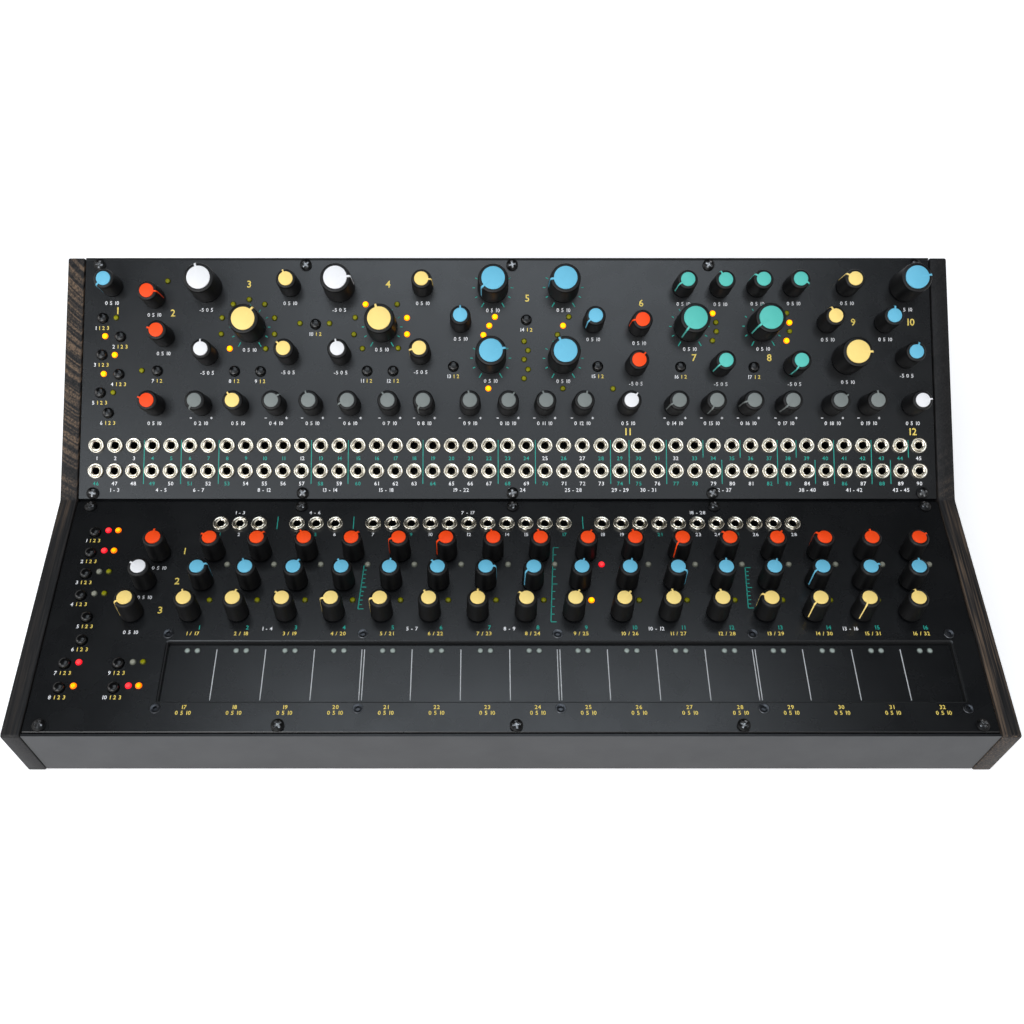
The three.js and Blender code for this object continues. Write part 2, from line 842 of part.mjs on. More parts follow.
// Power inlet: a socket block with a flange outside the back
function entryBlock(across, width, height, front, rear) {
  return block(
    across - width / 2,
    across + width / 2,
    front,
    rear,
    entryZ - height / 2,
    entryZ + height / 2,
  );
}

function entryShell(across, width, height, depth, wall) {
  const rear = rearY + fitGap + inletFlangeThickness;
  return joined([
    entryBlock(across, width, height, rearY - depth, rear),
    entryBlock(across, width + 2 * inletFlange, height + 2 * inletFlange, rearY + fitGap, rear),
  ]).subtract(
    entryBlock(
      across,
      width - 2 * wall,
      height - 2 * wall,
      rearY - depth + 2 * wall,
      rear + cutOverrun,
    ),
  );
}
addPiece(
  synthesizer,
  "power_inlet",
  geometryOf(entryShell(inletAcross, inletWidth, inletHeight, inletDepth, inletWall)),
  plasticBlack,
);
addPiece(
  synthesizer,
  "power_switch_body",
  geometryOf(entryShell(switchAcross, switchWidth, switchHeight, switchDepth, switchWall)),
  plasticBlack,
);

// Rocker: a shallow V seen from the side, on a pivot along X, tipped with its upper end out
const rockerCorner = new THREE.Vector2(Math.sin(rockerCornerTurn), Math.cos(rockerCornerTurn));
const rockerOutline = [
  new THREE.Vector2(-rockerBackDepth, -rockerBackDepth),
  new THREE.Vector2(rockerCorner.x * rockerReach, -rockerCorner.y * rockerReach),
  new THREE.Vector2(rockerFaceLift, 0),
  new THREE.Vector2(rockerCorner.x * rockerReach, rockerCorner.y * rockerReach),
  new THREE.Vector2(-rockerBackDepth, rockerBackDepth),
];
const rockerSide = switchWidth / 2 - switchWall - fitGap;
const rocker = addPiece(
  synthesizer,
  "power_switch_rocker",
  crossBar(rockerOutline, -rockerSide, rockerSide),
  plasticBlack,
);
rocker.position.set(switchAcross, rearY - rockerPivotDepth, entryZ);
rocker.rotation.x = -rockerTip;

// Power supply board on standoffs behind the middle of the tray
const supplyY = rearY - supplyInset - supplyWidth / 2;
const supplyBottom = trayTop + fitGap;
const supplyPlate = supplyBottom + supplyStandoff;
const supplyX = supplyLength / 2 - supplyStandoffWidth;
const supplyReach = supplyWidth / 2 - supplyStandoffWidth;
const supplyPieces = [
  block(
    supplyAcross - supplyLength / 2,
    supplyAcross + supplyLength / 2,
    supplyY - supplyWidth / 2,
    supplyY + supplyWidth / 2,
    supplyPlate,
    supplyPlate + boardThickness,
  ),
];
for (const across of [-supplyX, supplyX]) {
  for (const backward of [-supplyReach, supplyReach]) {
    supplyPieces.push(
      squarePost(
        supplyAcross + across,
        supplyY + backward,
        supplyStandoffWidth,
        supplyBottom,
        supplyPlate + boardThickness / 2,
      ),
    );
  }
}
for (const { width, depth, height, across, back } of supplyBlockShares) {
  const x = supplyAcross + across * supplyLength;
  const y = supplyY + back * supplyWidth;
  const halfAcross = (width * supplyLength) / 2;
  const halfBack = (depth * supplyWidth) / 2;
  supplyPieces.push(
    block(
      x - halfAcross,
      x + halfAcross,
      y - halfBack,
      y + halfBack,
      supplyPlate + boardThickness / 2,
      supplyPlate + boardThickness + height * supplyTallest,
    ),
  );
}
addPiece(synthesizer, "power_supply_board", geometryOf(joined(supplyPieces)), boardGreen);

export default synthesizer;
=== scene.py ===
"""Looks of a two-tier desktop modular synthesizer: wooden cheeks, a level step-sequencer panel in
front and a sloped voice panel behind it. Sizes are in millimetres until a mesh is made."""
import math

import bpy
import numpy as np
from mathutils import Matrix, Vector
from mathutils.geometry import delaunay_2d_cdt


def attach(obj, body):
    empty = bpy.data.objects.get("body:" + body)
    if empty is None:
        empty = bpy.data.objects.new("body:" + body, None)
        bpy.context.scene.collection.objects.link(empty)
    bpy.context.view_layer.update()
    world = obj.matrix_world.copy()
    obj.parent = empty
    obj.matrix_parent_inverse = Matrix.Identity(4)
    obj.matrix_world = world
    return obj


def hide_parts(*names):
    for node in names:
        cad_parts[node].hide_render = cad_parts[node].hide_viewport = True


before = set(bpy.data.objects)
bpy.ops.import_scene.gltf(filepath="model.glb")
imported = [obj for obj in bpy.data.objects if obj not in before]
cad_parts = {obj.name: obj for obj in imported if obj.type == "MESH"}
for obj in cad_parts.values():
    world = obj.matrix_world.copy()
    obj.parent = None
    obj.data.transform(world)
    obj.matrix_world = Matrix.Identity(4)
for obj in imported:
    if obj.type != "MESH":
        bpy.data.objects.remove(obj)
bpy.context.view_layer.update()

# Camera

camera_data = bpy.data.cameras.new("studio_camera")
camera_data.lens = 39.736
camera_data.sensor_width = 36
camera_data.sensor_fit = "HORIZONTAL"
camera_data.shift_x = 0.0265
camera = bpy.data.objects.new("studio_camera", camera_data)
camera.location = (-0.011561, -0.32345, 0.513479)
camera.rotation_euler = (math.radians(34.189), 0, 0)
bpy.context.scene.collection.objects.link(camera)
bpy.context.scene.camera = camera
bpy.context.scene.view_settings.view_transform = "Standard"

# Measures

MM = 0.001
MICRON = 0.000001
PANEL_WIDTH = 436.4
PANEL_HEIGHT = 124.7
PANEL_THICKNESS = 2.0
TILT = math.radians(29.2)
BEND_Y = 3.0137
BEND_GAP = 1.7
SURFACE = 42.0
HALF = PANEL_WIDTH / 2
JACK_PITCH = PANEL_WIDTH * 0.021826
STEP_PITCH = PANEL_WIDTH * 0.052246
MODULE_PITCH = PANEL_WIDTH * 0.01164
LAMP_PITCH = 22.86
PAD_PITCH = 22.83
JACK_COLUMNS = 45
MIDDLE_COLUMN = 22
STEPS = 16
UPPER_ROWS = (PANEL_HEIGHT - 27.5, PANEL_HEIGHT - 14.4)
LOWER_ROW = 13.6
SCREW_ACROSS = np.array([-41.5, -20.5, 0.5, 20.5, 41.5]) * MODULE_PITCH
SCREW_INSET = 3.0
WINDOW = (-7.03 * STEP_PITCH, 9.08 * STEP_PITCH, 0.6351 * PANEL_HEIGHT, 0.8861 * PANEL_HEIGHT)
REAR_Y = 121.686
FRONT_Y = -124.286
TRAY_UNDER = 3.8
BEHIND_PANEL = -2.3
BOARD_FACE = -8.8
BOARD_BACK = -10.4
INK_LOW, INK_HIGH = 0.005, 0.05
SMALL_PRINT = 1.9
HEADING = 3.6

WHITE, CREAM, TEAL, BLUE, RED, GREY = "white", "cream", "teal", "blue", "red", "grey"

# name, across in jack pitches, down in panel heights, turn in degrees, cap colour
LARGE_KNOBS = [
    ("coarse_tune_knob_1", -16.3, 0.118, -15, WHITE),
    ("coarse_tune_knob_2", -9.1, 0.118, 85, WHITE),
    ("rise_knob_1", -0.78, 0.12, -130, BLUE),
    ("rise_knob_2", 3.04, 0.119, -95, BLUE),
    ("time_knob", 21.55, 0.117, 80, BLUE),
    ("timbre_knob", -13.91, 0.286, 40, CREAM),
    ("reflection_knob", -6.77, 0.285, -15, CREAM),
    ("dynamics_knob_1", 9.85, 0.283, -145, TEAL),
    ("dynamics_knob_2", 13.81, 0.282, -125, TEAL),
    ("fall_knob_1", -0.9, 0.416, 80, BLUE),
    ("fall_knob_2", 3.01, 0.417, -25, BLUE),
    ("feedback_knob", 18.33, 0.421, 90, CREAM),
]
SMALL_KNOBS = [
    ("glide_knob", -21.41, 0.114, -135, BLUE),
    ("steps_knob", -19.1, 0.164, 95, RED),
    ("positive_knob", -11.76, 0.115, -20, CREAM),
    ("pulse_width_knob", -4.58, 0.115, 95, CREAM),
    ("input_knob_1", 9.54, 0.118, -120, TEAL),
    ("response_knob_1", 11.54, 0.119, -30, TEAL),
    ("input_knob_2", 13.55, 0.117, -60, TEAL),
    ("response_knob_2", 15.51, 0.116, 120, TEAL),
    ("size_knob", 18.4, 0.115, -60, CREAM),
    ("density_knob", -18.55, 0.326, -75, RED),
    ("shape_knob_1", -2.52, 0.265, 0, BLUE),
    ("shape_knob_2", 4.64, 0.267, -130, BLUE),
    ("amplifier_knob", 7.12, 0.283, -95, RED),
    ("mix_knob_1", 17.31, 0.268, -25, CREAM),
    ("mix_knob_2", 20.41, 0.267, 5, BLUE),
]
# across in jack pitches, down in panel heights, turn, cap colour
TRIM_KNOBS = [
    (-16.18, 0.403, -4, WHITE), (-11.83, 0.401, -47, CREAM), (-8.99, 0.402, -12, WHITE),
    (-4.68, 0.4, -102, CREAM), (6.91, 0.448, 42, RED), (11.48, 0.45, -127, TEAL),
    (15.45, 0.45, -152, TEAL), (21.5, 0.415, 19, BLUE),
]
MIX_ROW = 0.6127
# across in jack pitches, turn, cap colour
MIX_KNOBS = [
    (-18.95, -70, RED), (-16.45, -149, GREY), (-14.46, -33, CREAM), (-12.42, 53, GREY),
    (-10.47, -19, GREY), (-8.44, -115, GREY), (-6.32, -35, GREY), (-4.46, -150, GREY),
    (-2, -9, GREY), (0.03, 38, GREY), (2, -20, GREY), (4.02, 17, GREY), (6.48, 41, WHITE),
    (8.99, -118, GREY), (10.96, -152, GREY), (12.93, -101, GREY), (14.95, -135, GREY),
    (17.45, 54, GREY), (19.4, 0, GREY), (21.75, 82, WHITE),
]
# down in panel heights, first knob's place in step pitches, cap colour, turns
STEP_ROWS = [
    (0.2455, -6.33, RED,
     [-63, 46, -27, 47, -104, -119, -14, -15, 26, -13, -143, -46, 37, -54, -4, 60]),
    (0.3776, -6.49, BLUE,
     [70, -19, 33, -24, 5, -40, 88, -127, 16, 16, 123, 4, 23, -124, 72, 9]),
    (0.5137, -6.655, CREAM,
     [-15, 17, -45, -96, -98, -30, 1, -48, 26, 43, -4, -8, -65, -136, -151, -14]),
]
# one at the left of each step row: name, across in step pitches, turn, cap colour
CLOCK_KNOBS = [
    ("tempo_knob", -7.52, 0, RED),
    ("swing_knob", -7.71, -60, WHITE),
    ("gate_length_knob", -7.86, -120, CREAM),
]
# across in jack pitches (upper) or step pitches (lower), down in panel heights
UPPER_BUTTONS = [
    (-21.87, 0.249), (-20.89, 0.327), (-21.87, 0.403), (-20.92, 0.484), (-21.9, 0.561),
    (-21.44, 0.645), (-18.86, 0.47), (-14.7, 0.471), (-13.3, 0.472), (-10.37, 0.274),
    (-7.56, 0.47), (-6.16, 0.47), (-2.91, 0.451), (1.03, 0.256), (4.87, 0.451), (9.34, 0.453),
    (13.29, 0.454),
]
LOWER_BUTTONS = [
    (-9.01, 0.15), (-9.01, 0.247), (-9.01, 0.343), (-9.01, 0.44), (-8.78, 0.536),
    (-8.78, 0.633), (-9.02, 0.73), (-9.02, 0.828), (-7.93, 0.73), (-7.93, 0.828),
]
UPPER_MOVING_BUTTONS = 6
LOWER_MOVING_BUTTONS = 4
# lamps: across and down in millimetres
DIM_LAMPS = [
    (-175.4, 11.5), (-201.5, 30.8), (-202.0, 69.8), (-187.6, 58.4), (-133.1, 21.2),
    (-141.3, 23.7), (-125.1, 23.7), (-146.9, 30.8), (-147.2, 39.3), (-119.9, 30.9),
    (-119.8, 39.4), (-124.2, 47.0), (-106.8, 33.7), (-91.6, 33.7), (-56.8, 23.7),
    (-78.4, 30.7), (-78.9, 39.5), (-74.5, 46.9), (-56.1, 46.7), (31.7, 30.3), (25.8, 39.7),
    (8.6, 43.1), (10.6, 47.9), (8.6, 52.6), (10.6, 57.8), (8.5, 62.5), (28.4, 67.7),
    (54.1, 67.8), (107.4, 33.2), (107.5, 38.0), (105.5, 42.8), (143.9, 28.4), (145.3, 37.9),
]
LIT_LAMPS = [
    (-206.9, 40.4), (-201.7, 50.2), (-207.1, 60.1), (-142.7, 46.9), (-73.1, 23.7),
    (-51.7, 30.8), (-51.6, 39.4), (-6.4, 30.3), (-9.3, 34.9), (-12.3, 39.8), (28.7, 34.9),
    (-9.8, 67.7), (105.8, 28.5), (145.3, 33.3), (143.6, 42.8),
]
LOWER_DIM_LAMPS = [(-194.5, 41.3), (-194.4, 53.6), (-169.6, 90.1)]
LOWER_CLEAR_LAMPS = [(-199.2, 41.3), (-199.2, 53.6), (-174.3, 90.1)]
LOWER_RED_LAMPS = [(-199.2, 17.3), (-199.1, 29.2), (-199.3, 90.2), (-174.3, 102.1)]
LOWER_LIT_LAMPS = [(-194.3, 17.3), (-194.3, 29.2), (-199.4, 102.2), (-169.6, 102.1)]
LIT_STEP = 8
FIRST_UPPER_LAMP = (-137.4, 37.2)
FIRST_LOWER_LAMP = (-143.4, 57.3)
FIRST_PAD_LAMPS = (-148.3, 83.1)
for i in range(STEPS):
    upper_row, lower_row = (
        (LOWER_RED_LAMPS, LOWER_LIT_LAMPS) if i == LIT_STEP
        else (LOWER_CLEAR_LAMPS, LOWER_DIM_LAMPS)
    )
    upper_row.append((FIRST_UPPER_LAMP[0] + LAMP_PITCH * i, FIRST_UPPER_LAMP[1]))
    lower_row.append((FIRST_LOWER_LAMP[0] + LAMP_PITCH * i, FIRST_LOWER_LAMP[1]))
PAD_LAMPS = [(FIRST_PAD_LAMPS[0] + PAD_PITCH * i + side, FIRST_PAD_LAMPS[1])
             for i in range(STEPS) for side in (-2.35, 2.35)]
FLUSH_SCREWS = [(x, d) for x in (-160.3, -68.9, 22.7, 114.3, 206.5) for d in (75.3, 113.3)]
SCREWS_TOP = [(x, SCREW_INSET) for x in SCREW_ACROSS]
SCREWS_BOTTOM = [(x, PANEL_HEIGHT - SCREW_INSET) for x in SCREW_ACROSS]
UPPER_JACKS = [((i - MIDDLE_COLUMN) * JACK_PITCH, row)
               for row in UPPER_ROWS for i in range(JACK_COLUMNS)]
LOWER_JACKS = [
    ((first + i) * JACK_PITCH, LOWER_ROW)
    for first, count in ((-15.07, 3), (-11.07, 3), (-7.07, 11), (4.93, 11))
    for i in range(count)
]


def placed(rows, kind="small", pitch=JACK_PITCH):
    """Knobs as (name, kind, across, down, turn, colour), with their places in millimetres."""
    return [(name, kind, across * pitch, down * PANEL_HEIGHT, turn, colour)
            for name, across, down, turn, colour in rows]


def places_of(knobs):
    """Only the places (across, down) of knobs."""
    return [knob[2:4] for knob in knobs]


large_knobs = placed(LARGE_KNOBS, "large")
small_knobs = placed(SMALL_KNOBS)
trim_knobs = placed([(f"trim_knob_{i + 1}", *row) for i, row in enumerate(TRIM_KNOBS)])
mix_knobs = placed([
    (f"mix_row_knob_{i + 1}", across, MIX_ROW, turn, colour)
    for i, (across, turn, colour) in enumerate(MIX_KNOBS)
])
step_knobs = placed([
    (f"step_knob_{row}{i + 1}", first + i, down, turn, colour)
    for row, (down, first, colour, turns) in zip("abc", STEP_ROWS)
    for i, turn in enumerate(turns)
], pitch=STEP_PITCH)
clock_knobs = placed([
    (name, across, row[0], turn, colour)
    for row, (name, across, turn, colour) in zip(STEP_ROWS, CLOCK_KNOBS)
], pitch=STEP_PITCH)
upper_buttons = [(a * JACK_PITCH, d * PANEL_HEIGHT) for a, d in UPPER_BUTTONS]
lower_buttons = [(a * STEP_PITCH, d * PANEL_HEIGHT) for a, d in LOWER_BUTTONS]

# Places on the two panels

SIN, COS = math.sin(TILT), math.cos(TILT)
TOP_Y = BEND_Y + BEND_GAP + COS * PANEL_HEIGHT
TOP_Z = SURFACE + SIN * PANEL_HEIGHT


def on_upper(points):
    """Panel points (across, up from the top edge, out) turned by the tilt and moved to the upper
    panel: y is up times cosine less out times sine, z is up times sine plus out times cosine."""
    points = np.asarray(points, float)
    x, up, out = points[..., 0], points[..., 1], points[..., 2]
    return np.stack([x, TOP_Y + COS * up - SIN * out, TOP_Z + SIN * up + COS * out], -1)


def on_lower(points):
    """Panel points (across, up from the top edge, out) moved to the level lower panel."""
    return np.asarray(points, float) + np.array([0.0, BEND_Y, SURFACE])


def on_rear(points):
    """Points (across as seen from behind, up, out) on the back: x is minus across, y the back's
    plane plus out, z is up."""
    points = np.asarray(points, float)
    return np.stack([-points[..., 0], REAR_Y + points[..., 2], points[..., 1]], -1)


def on_underside(points):
    """Points (across, up, out) under the tray: y is minus up, z the tray's underside less out."""
    points = np.asarray(points, float)
    return np.stack([points[..., 0], -points[..., 1], TRAY_UNDER - points[..., 2]], -1)


def moved(points, across, down, turn=0.0):
    """A shape about the panel's normal, turned clockwise by the given degrees and moved across
    and down: x is x cos + y sin, y is y cos less x sin."""
    points = np.asarray(points, float)
    c, s = math.cos(math.radians(turn)), math.sin(math.radians(turn))
    x = points[..., 0] * c + points[..., 1] * s + across
    y = points[..., 1] * c - points[..., 0] * s - down
    return np.stack([x, y, points[..., 2]], -1)


# Flat outlines

def turns_round(sides):
    """Even turns once round: two pi times the number of the side over the count of sides."""
    return np.arange(sides) * 2 * math.pi / sides


def circle(radius, sides, across, down):
    """A circle's points: its middle plus radius times the cosine and the sine of each turn."""
    angle = turns_round(sides)
    return np.stack([across + radius * np.cos(angle), -down + radius * np.sin(angle)], -1)


def rounded_rectangle(left, right, bottom, top, corner):
    """A rectangle's outline with a quarter circle of five points at each corner."""
    quarter = np.linspace(0, math.pi / 2, 5)
    turn = np.concatenate([quarter + k * math.pi / 2 for k in range(4)])
    x = np.repeat([right - corner, left + corner, left + corner, right - corner], 5)
    y = np.repeat([top - corner, top - corner, bottom + corner, bottom + corner], 5)
    return np.stack([x + corner * np.cos(turn), y + corner * np.sin(turn)], -1)


def drawn_in(loop, amount):
    """A closed loop moved inwards: each point goes along the mean of its two sides' normals."""
    loop = np.asarray(loop, float)
    side = np.roll(loop, -1, 0) - loop
    side /= np.linalg.norm(side, axis=1, keepdims=True)
    normal = np.stack([-side[:, 1], side[:, 0]], -1)
    mean = normal + np.roll(normal, 1, 0)
    mean /= (mean * normal).sum(1, keepdims=True)
    return loop + mean * amount


def softened(outline, radii):
    """Each corner becomes an arc of six points that touches both sides, its radius as given."""
    loops = []
    for i, (corner, radius) in enumerate(zip(outline, radii)):
        before, after = outline[i - 1], outline[(i + 1) % len(outline)]
        a = (before - corner) / np.linalg.norm(before - corner)
        b = (after - corner) / np.linalg.norm(after - corner)
        half = math.acos(np.clip(a @ b, -1, 1)) / 2
        reach = radius / math.tan(half)
        middle = corner + (a + b) / np.linalg.norm(a + b) * radius / math.sin(half)
        t = np.linspace(0, 1, 6)[:, None]
        chord = (corner + a * reach - middle) * (1 - t) + (corner + b * reach - middle) * t
        loops.append(middle + chord / np.linalg.norm(chord, axis=1, keepdims=True) * radius)
    return np.concatenate(loops)


# Computed surfaces

def grid(rings, sides):
    """Quads between neighbours on closed rings: each takes a point, the next on its ring, and the
    two after them on the next ring."""
    r, c = np.arange(rings - 1)[:, None] * sides, np.arange(sides)[None, :]
    a, b = r + c, r + (c + 1) % sides
    return np.stack([a, b, b + sides, a + sides], -1).reshape(-1, 4)


def turned_profile(profile, sides):
    """A profile of (radius, height) carried round the axis: x is radius times the cosine of the
    turn, y radius times its sine, z the height. Ends on the axis close as fans of triangles."""
    profile = np.asarray(profile, float)
    start = profile[0, 0] == 0
    end = profile[-1, 0] == 0
    rings = profile[int(start): len(profile) - int(end)]
    angle = turns_round(sides)
    ring = np.stack([np.cos(angle), np.sin(angle)], -1)
    xy = rings[:, None, 0, None] * ring[None]
    z = np.broadcast_to(rings[:, None, 1, None], (len(rings), sides, 1))
    points = np.concatenate([xy, z], -1).reshape(-1, 3)
    faces = [grid(len(rings), sides)]
    around = np.arange(sides)
    ahead = (around + 1) % sides
    if start:
        points = np.vstack([points, [0, 0, profile[0, 1]]])
        faces.append(np.stack([np.full(sides, len(points) - 1), ahead, around], -1))
    if end:
        points = np.vstack([points, [0, 0, profile[-1, 1]]])
        last = (len(rings) - 1) * sides
        tip = np.full(sides, len(points) - 1)
        faces.append(np.stack([last + around, last + ahead, tip], -1))
    return points, faces


def closed_loft(sections):
    """Rings of points carried from one section to the next and closed by a face at each end. The
    sections are an array of rings by points by coordinates."""
    sections = np.asarray(sections, float)
    rings, around = sections.shape[:2]
    faces = [
        grid(rings, around),
        np.arange(around)[None, ::-1],
        (np.arange(around) + (rings - 1) * around)[None],
    ]
    return sections.reshape(-1, 3), faces


def rounded_slab(width, height, corner, edge, low, high):
    """A flat plate with rounded corners, its outline at four heights, drawn in by the edge width
    at the first and last."""
    rings = []
    for inset, z in ((edge, low), (0, low + edge), (0, high - edge), (edge, high)):
        x, y = width / 2 - inset, height / 2 - inset
        ring = rounded_rectangle(-x, x, -y, y, corner - inset)
        rings.append(np.column_stack([ring, np.full(len(ring), z)]))
    return closed_loft(rings)


def bar(outline, stations):
    """A bar of the given side view through stations (x, amount), drawn in by each amount."""
    sections = []
    for x, inset in stations:
        ring = drawn_in(outline, inset)
        sections.append(np.column_stack([np.full(len(ring), x), ring]))
    return closed_loft(sections)


def drilled_plate(outline, holes, low, high, edge, first_rim=None):
    """A plate with holes: the face between the outline and the hole rims is divided into
    triangles once and used at both heights, and each loop is joined from face to face by walls
    with a narrow slope at the upper rim. The first hole's upper rim may be given."""
    top_loops = [drawn_in(outline, edge)] + [drawn_in(h[::-1], edge * 0.5)[::-1] for h in holes]
    if first_rim is not None:
        top_loops[1] = first_rim
    flat = np.concatenate(top_loops)
    edges, start, hole_faces = [], 0, []
    for index, loop in enumerate(top_loops):
        ids = np.arange(start, start + len(loop))
        edges += list(zip(ids.tolist(), np.roll(ids, -1).tolist()))
        if index:
            hole_faces.append(ids[::-1].tolist())
        start += len(loop)
    found = delaunay_2d_cdt([Vector(p) for p in flat], edges, hole_faces, 0, 1e-6)
    source = np.array([o[0] for o in found[3]])
    inside = np.array([len(o) > 0 for o in found[5]])
    triangles = np.array([f for f in found[2] if len(f) == 3])
    triangles = source[triangles[~inside[: len(triangles)]]]
    count = len(flat)
    sides = np.concatenate([outline] + holes)
    rings = [(flat, high), (sides, high - edge), (sides, low)]
    points = np.concatenate([np.column_stack([p, np.full(count, z)]) for p, z in rings])
    walls, start = [], 0
    for loop in top_loops:
        a = np.arange(start, start + len(loop))
        b = np.roll(a, -1)
        for upper in (0, count):
            lower = upper + count
            walls.append(np.stack([a + upper, a + lower, b + lower, b + upper], -1))
        start += len(loop)
    return points, [triangles, triangles[:, ::-1] + 2 * count, np.concatenate(walls)]


class Skin:
    """Gathers computed surfaces, with the place and the finish of each, into one mesh."""

    def __init__(self):
        self.points, self.faces, self.finishes, self.smooth, self.values = [], [], [], [], []
        self.count = 0

    def add(self, shape, finish=0, smooth=True, value=0.0):
        """One shape. Its finish is a number, or a number for each of its groups of faces."""
        points, groups = shape
        for index, group in enumerate(groups):
            number = finish[index] if isinstance(finish, tuple) else finish
            self.faces += (group + self.count).tolist()
            self.finishes += [number] * len(group)
            self.smooth += [smooth] * len(group)
        self.points.append(points)
        self.values.append(np.full(len(points), value))
        self.count += len(points)
        return self

    def lay(self, shape, to_frame, places=((0, 0),), finish=0, smooth=True, value=0.0):
        """The same shape laid on a panel at each place (across, down, turn)."""
        points, groups = shape
        for place in places:
            self.add((to_frame(moved(points, *place)), groups), finish, smooth, value)
        return self

    def piece(self, name, finishes, slot, body="case", replaced=(), sharp=None):
        """Makes the mesh in metres, and gives it its finishes and its body. The slot is not used.
        """
        mesh = bpy.data.meshes.new(name)
        mesh.from_pydata((np.concatenate(self.points) * MM).tolist(), [], self.faces)
        mesh.polygons.foreach_set("material_index", self.finishes)
        mesh.polygons.foreach_set("use_smooth", self.smooth)
        mesh.validate()
        values = np.concatenate(self.values)
        if values.any():
            height = mesh.attributes.new("dome", "FLOAT", "POINT")
            height.data.foreach_set("value", values)
        if sharp is not None:
            mesh.set_sharp_from_angle(angle=math.radians(sharp))
        piece = bpy.data.objects.new(name, mesh)
        bpy.context.scene.collection.objects.link(piece)
        for finish in finishes:
            mesh.materials.append(finish)
        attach(piece, body)
        if replaced:
            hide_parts(*replaced)


# Finishes

def tone(red, green, blue):
    """A screen colour from 0 to 255 as the linear colour that a shader takes."""
    share = np.array([red, green, blue]) / 255
    linear = np.where(share <= 0.04045, share / 12.92, ((share + 0.055) / 1.055) ** 2.4)
    return (*linear.tolist(), 1.0)


class Nodes:
    """A tree of shader nodes under construction."""

    def __init__(self, tree):
        self.tree = tree

    def plug(self, socket, value):
        """Links an output to the socket, or sets the socket to a constant."""
        if isinstance(value, bpy.types.NodeSocket):
            self.tree.links.new(value, socket)
        else:
            socket.default_value = value

    def fill(self, node, inputs):
        """Plugs the node's named inputs, with an underscore for each space in a name."""
        for key, value in inputs.items():
            self.plug(node.inputs[key.replace("_", " ")], value)
        return node

    def node(self, kind, settings=None, **inputs):
        node = self.tree.nodes.new("ShaderNode" + kind)
        for key, value in (settings or {}).items():
            setattr(node, key, value)
        return self.fill(node, inputs)

    def math(self, operation, *values):
        node = self.node("Math", {"operation": operation})
        for socket, value in zip(node.inputs, values):
            self.plug(socket, value)
        return node.outputs["Value"]

    def span(self, value, low, high, start=0.3, end=0.7, course="LINEAR"):
        """Carries a value from between start and end to between low and high."""
        node = self.node("MapRange", {"interpolation_type": course}, Value=value, From_Min=start,
                         From_Max=end, To_Min=low, To_Max=high)
        return node.outputs["Result"]


class Finish(Nodes):
    """A material under construction on object coordinates in metres."""

    def __init__(self, name):
        self.material = bpy.data.materials.new(name)
        self.material.use_nodes = True
        super().__init__(self.material.node_tree)
        self.shader = self.tree.nodes["Principled BSDF"]
        self.place = self.node("TexCoord").outputs["Object"]

    def set(self, **inputs):
        self.fill(self.shader, inputs)

    def stretched(self, x, y, z):
        return self.node("Mapping", Vector=self.place, Scale=(x, y, z)).outputs["Vector"]

    def noise(self, scale, detail=3.0, rough=0.55, vector=None):
        node = self.node("TexNoise", Vector=vector or self.place, Scale=scale, Detail=detail,
                         Roughness=rough)
        return node.outputs["Fac"]

    def ramp(self, value, stops):
        """Colours from 0 to 255, each at its value, with even changes between them."""
        node = self.node("ValToRGB", Fac=value)
        elements = node.color_ramp.elements
        while len(elements) < len(stops):
            elements.new(0.5)
        for element, (at, colour) in zip(elements, stops):
            element.position = at
            element.color = tone(*colour)
        return node.outputs["Color"]

    def bump(self, height, strength, microns):
        node = self.node("Bump", Height=height, Strength=strength, Distance=microns * MICRON)
        self.set(Normal=node.outputs["Normal"])


def grained(name, dark, light, grain, roughness, relief, strength=0.3, clouds=18.0, **fixed):
    """A moulded or painted surface: two close tones in soft clouds, roughness that wanders between
    two values, and a fine relief in microns of the given grain in grains per metre."""
    finish = Finish(name)
    finish.set(Base_Color=finish.ramp(finish.noise(clouds, 4.0), [(0.3, dark), (0.7, light)]),
               Roughness=finish.span(finish.noise(clouds * 3), *roughness), **fixed)
    finish.bump(finish.noise(grain, 2.0), strength, relief)
    return finish.material


panel_paint = grained("satin_black_panel_paint", (6, 7, 9), (9, 10, 12), 2600, (0.25, 0.3), 20,
                      Specular_IOR_Level=0.7)
case_paint = grained("satin_black_case_paint", (15, 16, 19), (19, 20, 23), 2200, (0.34, 0.4), 30,
                     Specular_IOR_Level=0.6)
# black paint of the back, darker than the case paint so that its lip behind the upper panel's top
# edge shows as a dark line: partly painted shade
back_paint_with_painted_shade = grained("matt_black_back_paint_with_painted_shade", (5, 5, 6), (8, 8, 9), 2200, (0.5, 0.58), 30,
                     Specular_IOR_Level=0.25)
knob_body = grained("soft_touch_black_knob", (6, 6, 7), (10, 10, 11), 3800, (0.42, 0.5), 20,
                    Specular_IOR_Level=0.38)
button_black = grained("glossy_black_button", (7, 7, 8), (10, 10, 11), 2400, (0.16, 0.22), 4,
                       Specular_IOR_Level=0.5)
screw_black = grained("glossy_black_screw", (4, 4, 5), (7, 7, 8), 3000, (0.3, 0.4), 10,
                      Specular_IOR_Level=0.25)
# painted highlights: bright metal in the cross recess stands in for the glints of the glossy screw
# heads
painted_glint_recess_metal = grained("bright_recess_metal_painted_glints", (120, 120, 122), (170, 170, 170), 3000, (0.2, 0.3),
                       10, clouds=900.0, Metallic=1.0)
socket_metal = grained("black_oxide_socket_screw", (70, 72, 76), (92, 94, 98), 3000, (0.26, 0.36),
                       20, Metallic=1.0)
nickel = grained("bright_nickel_nut", (236, 228, 210), (250, 244, 230), 1800, (0.14, 0.2), 10,
                 clouds=160.0, Metallic=1.0)
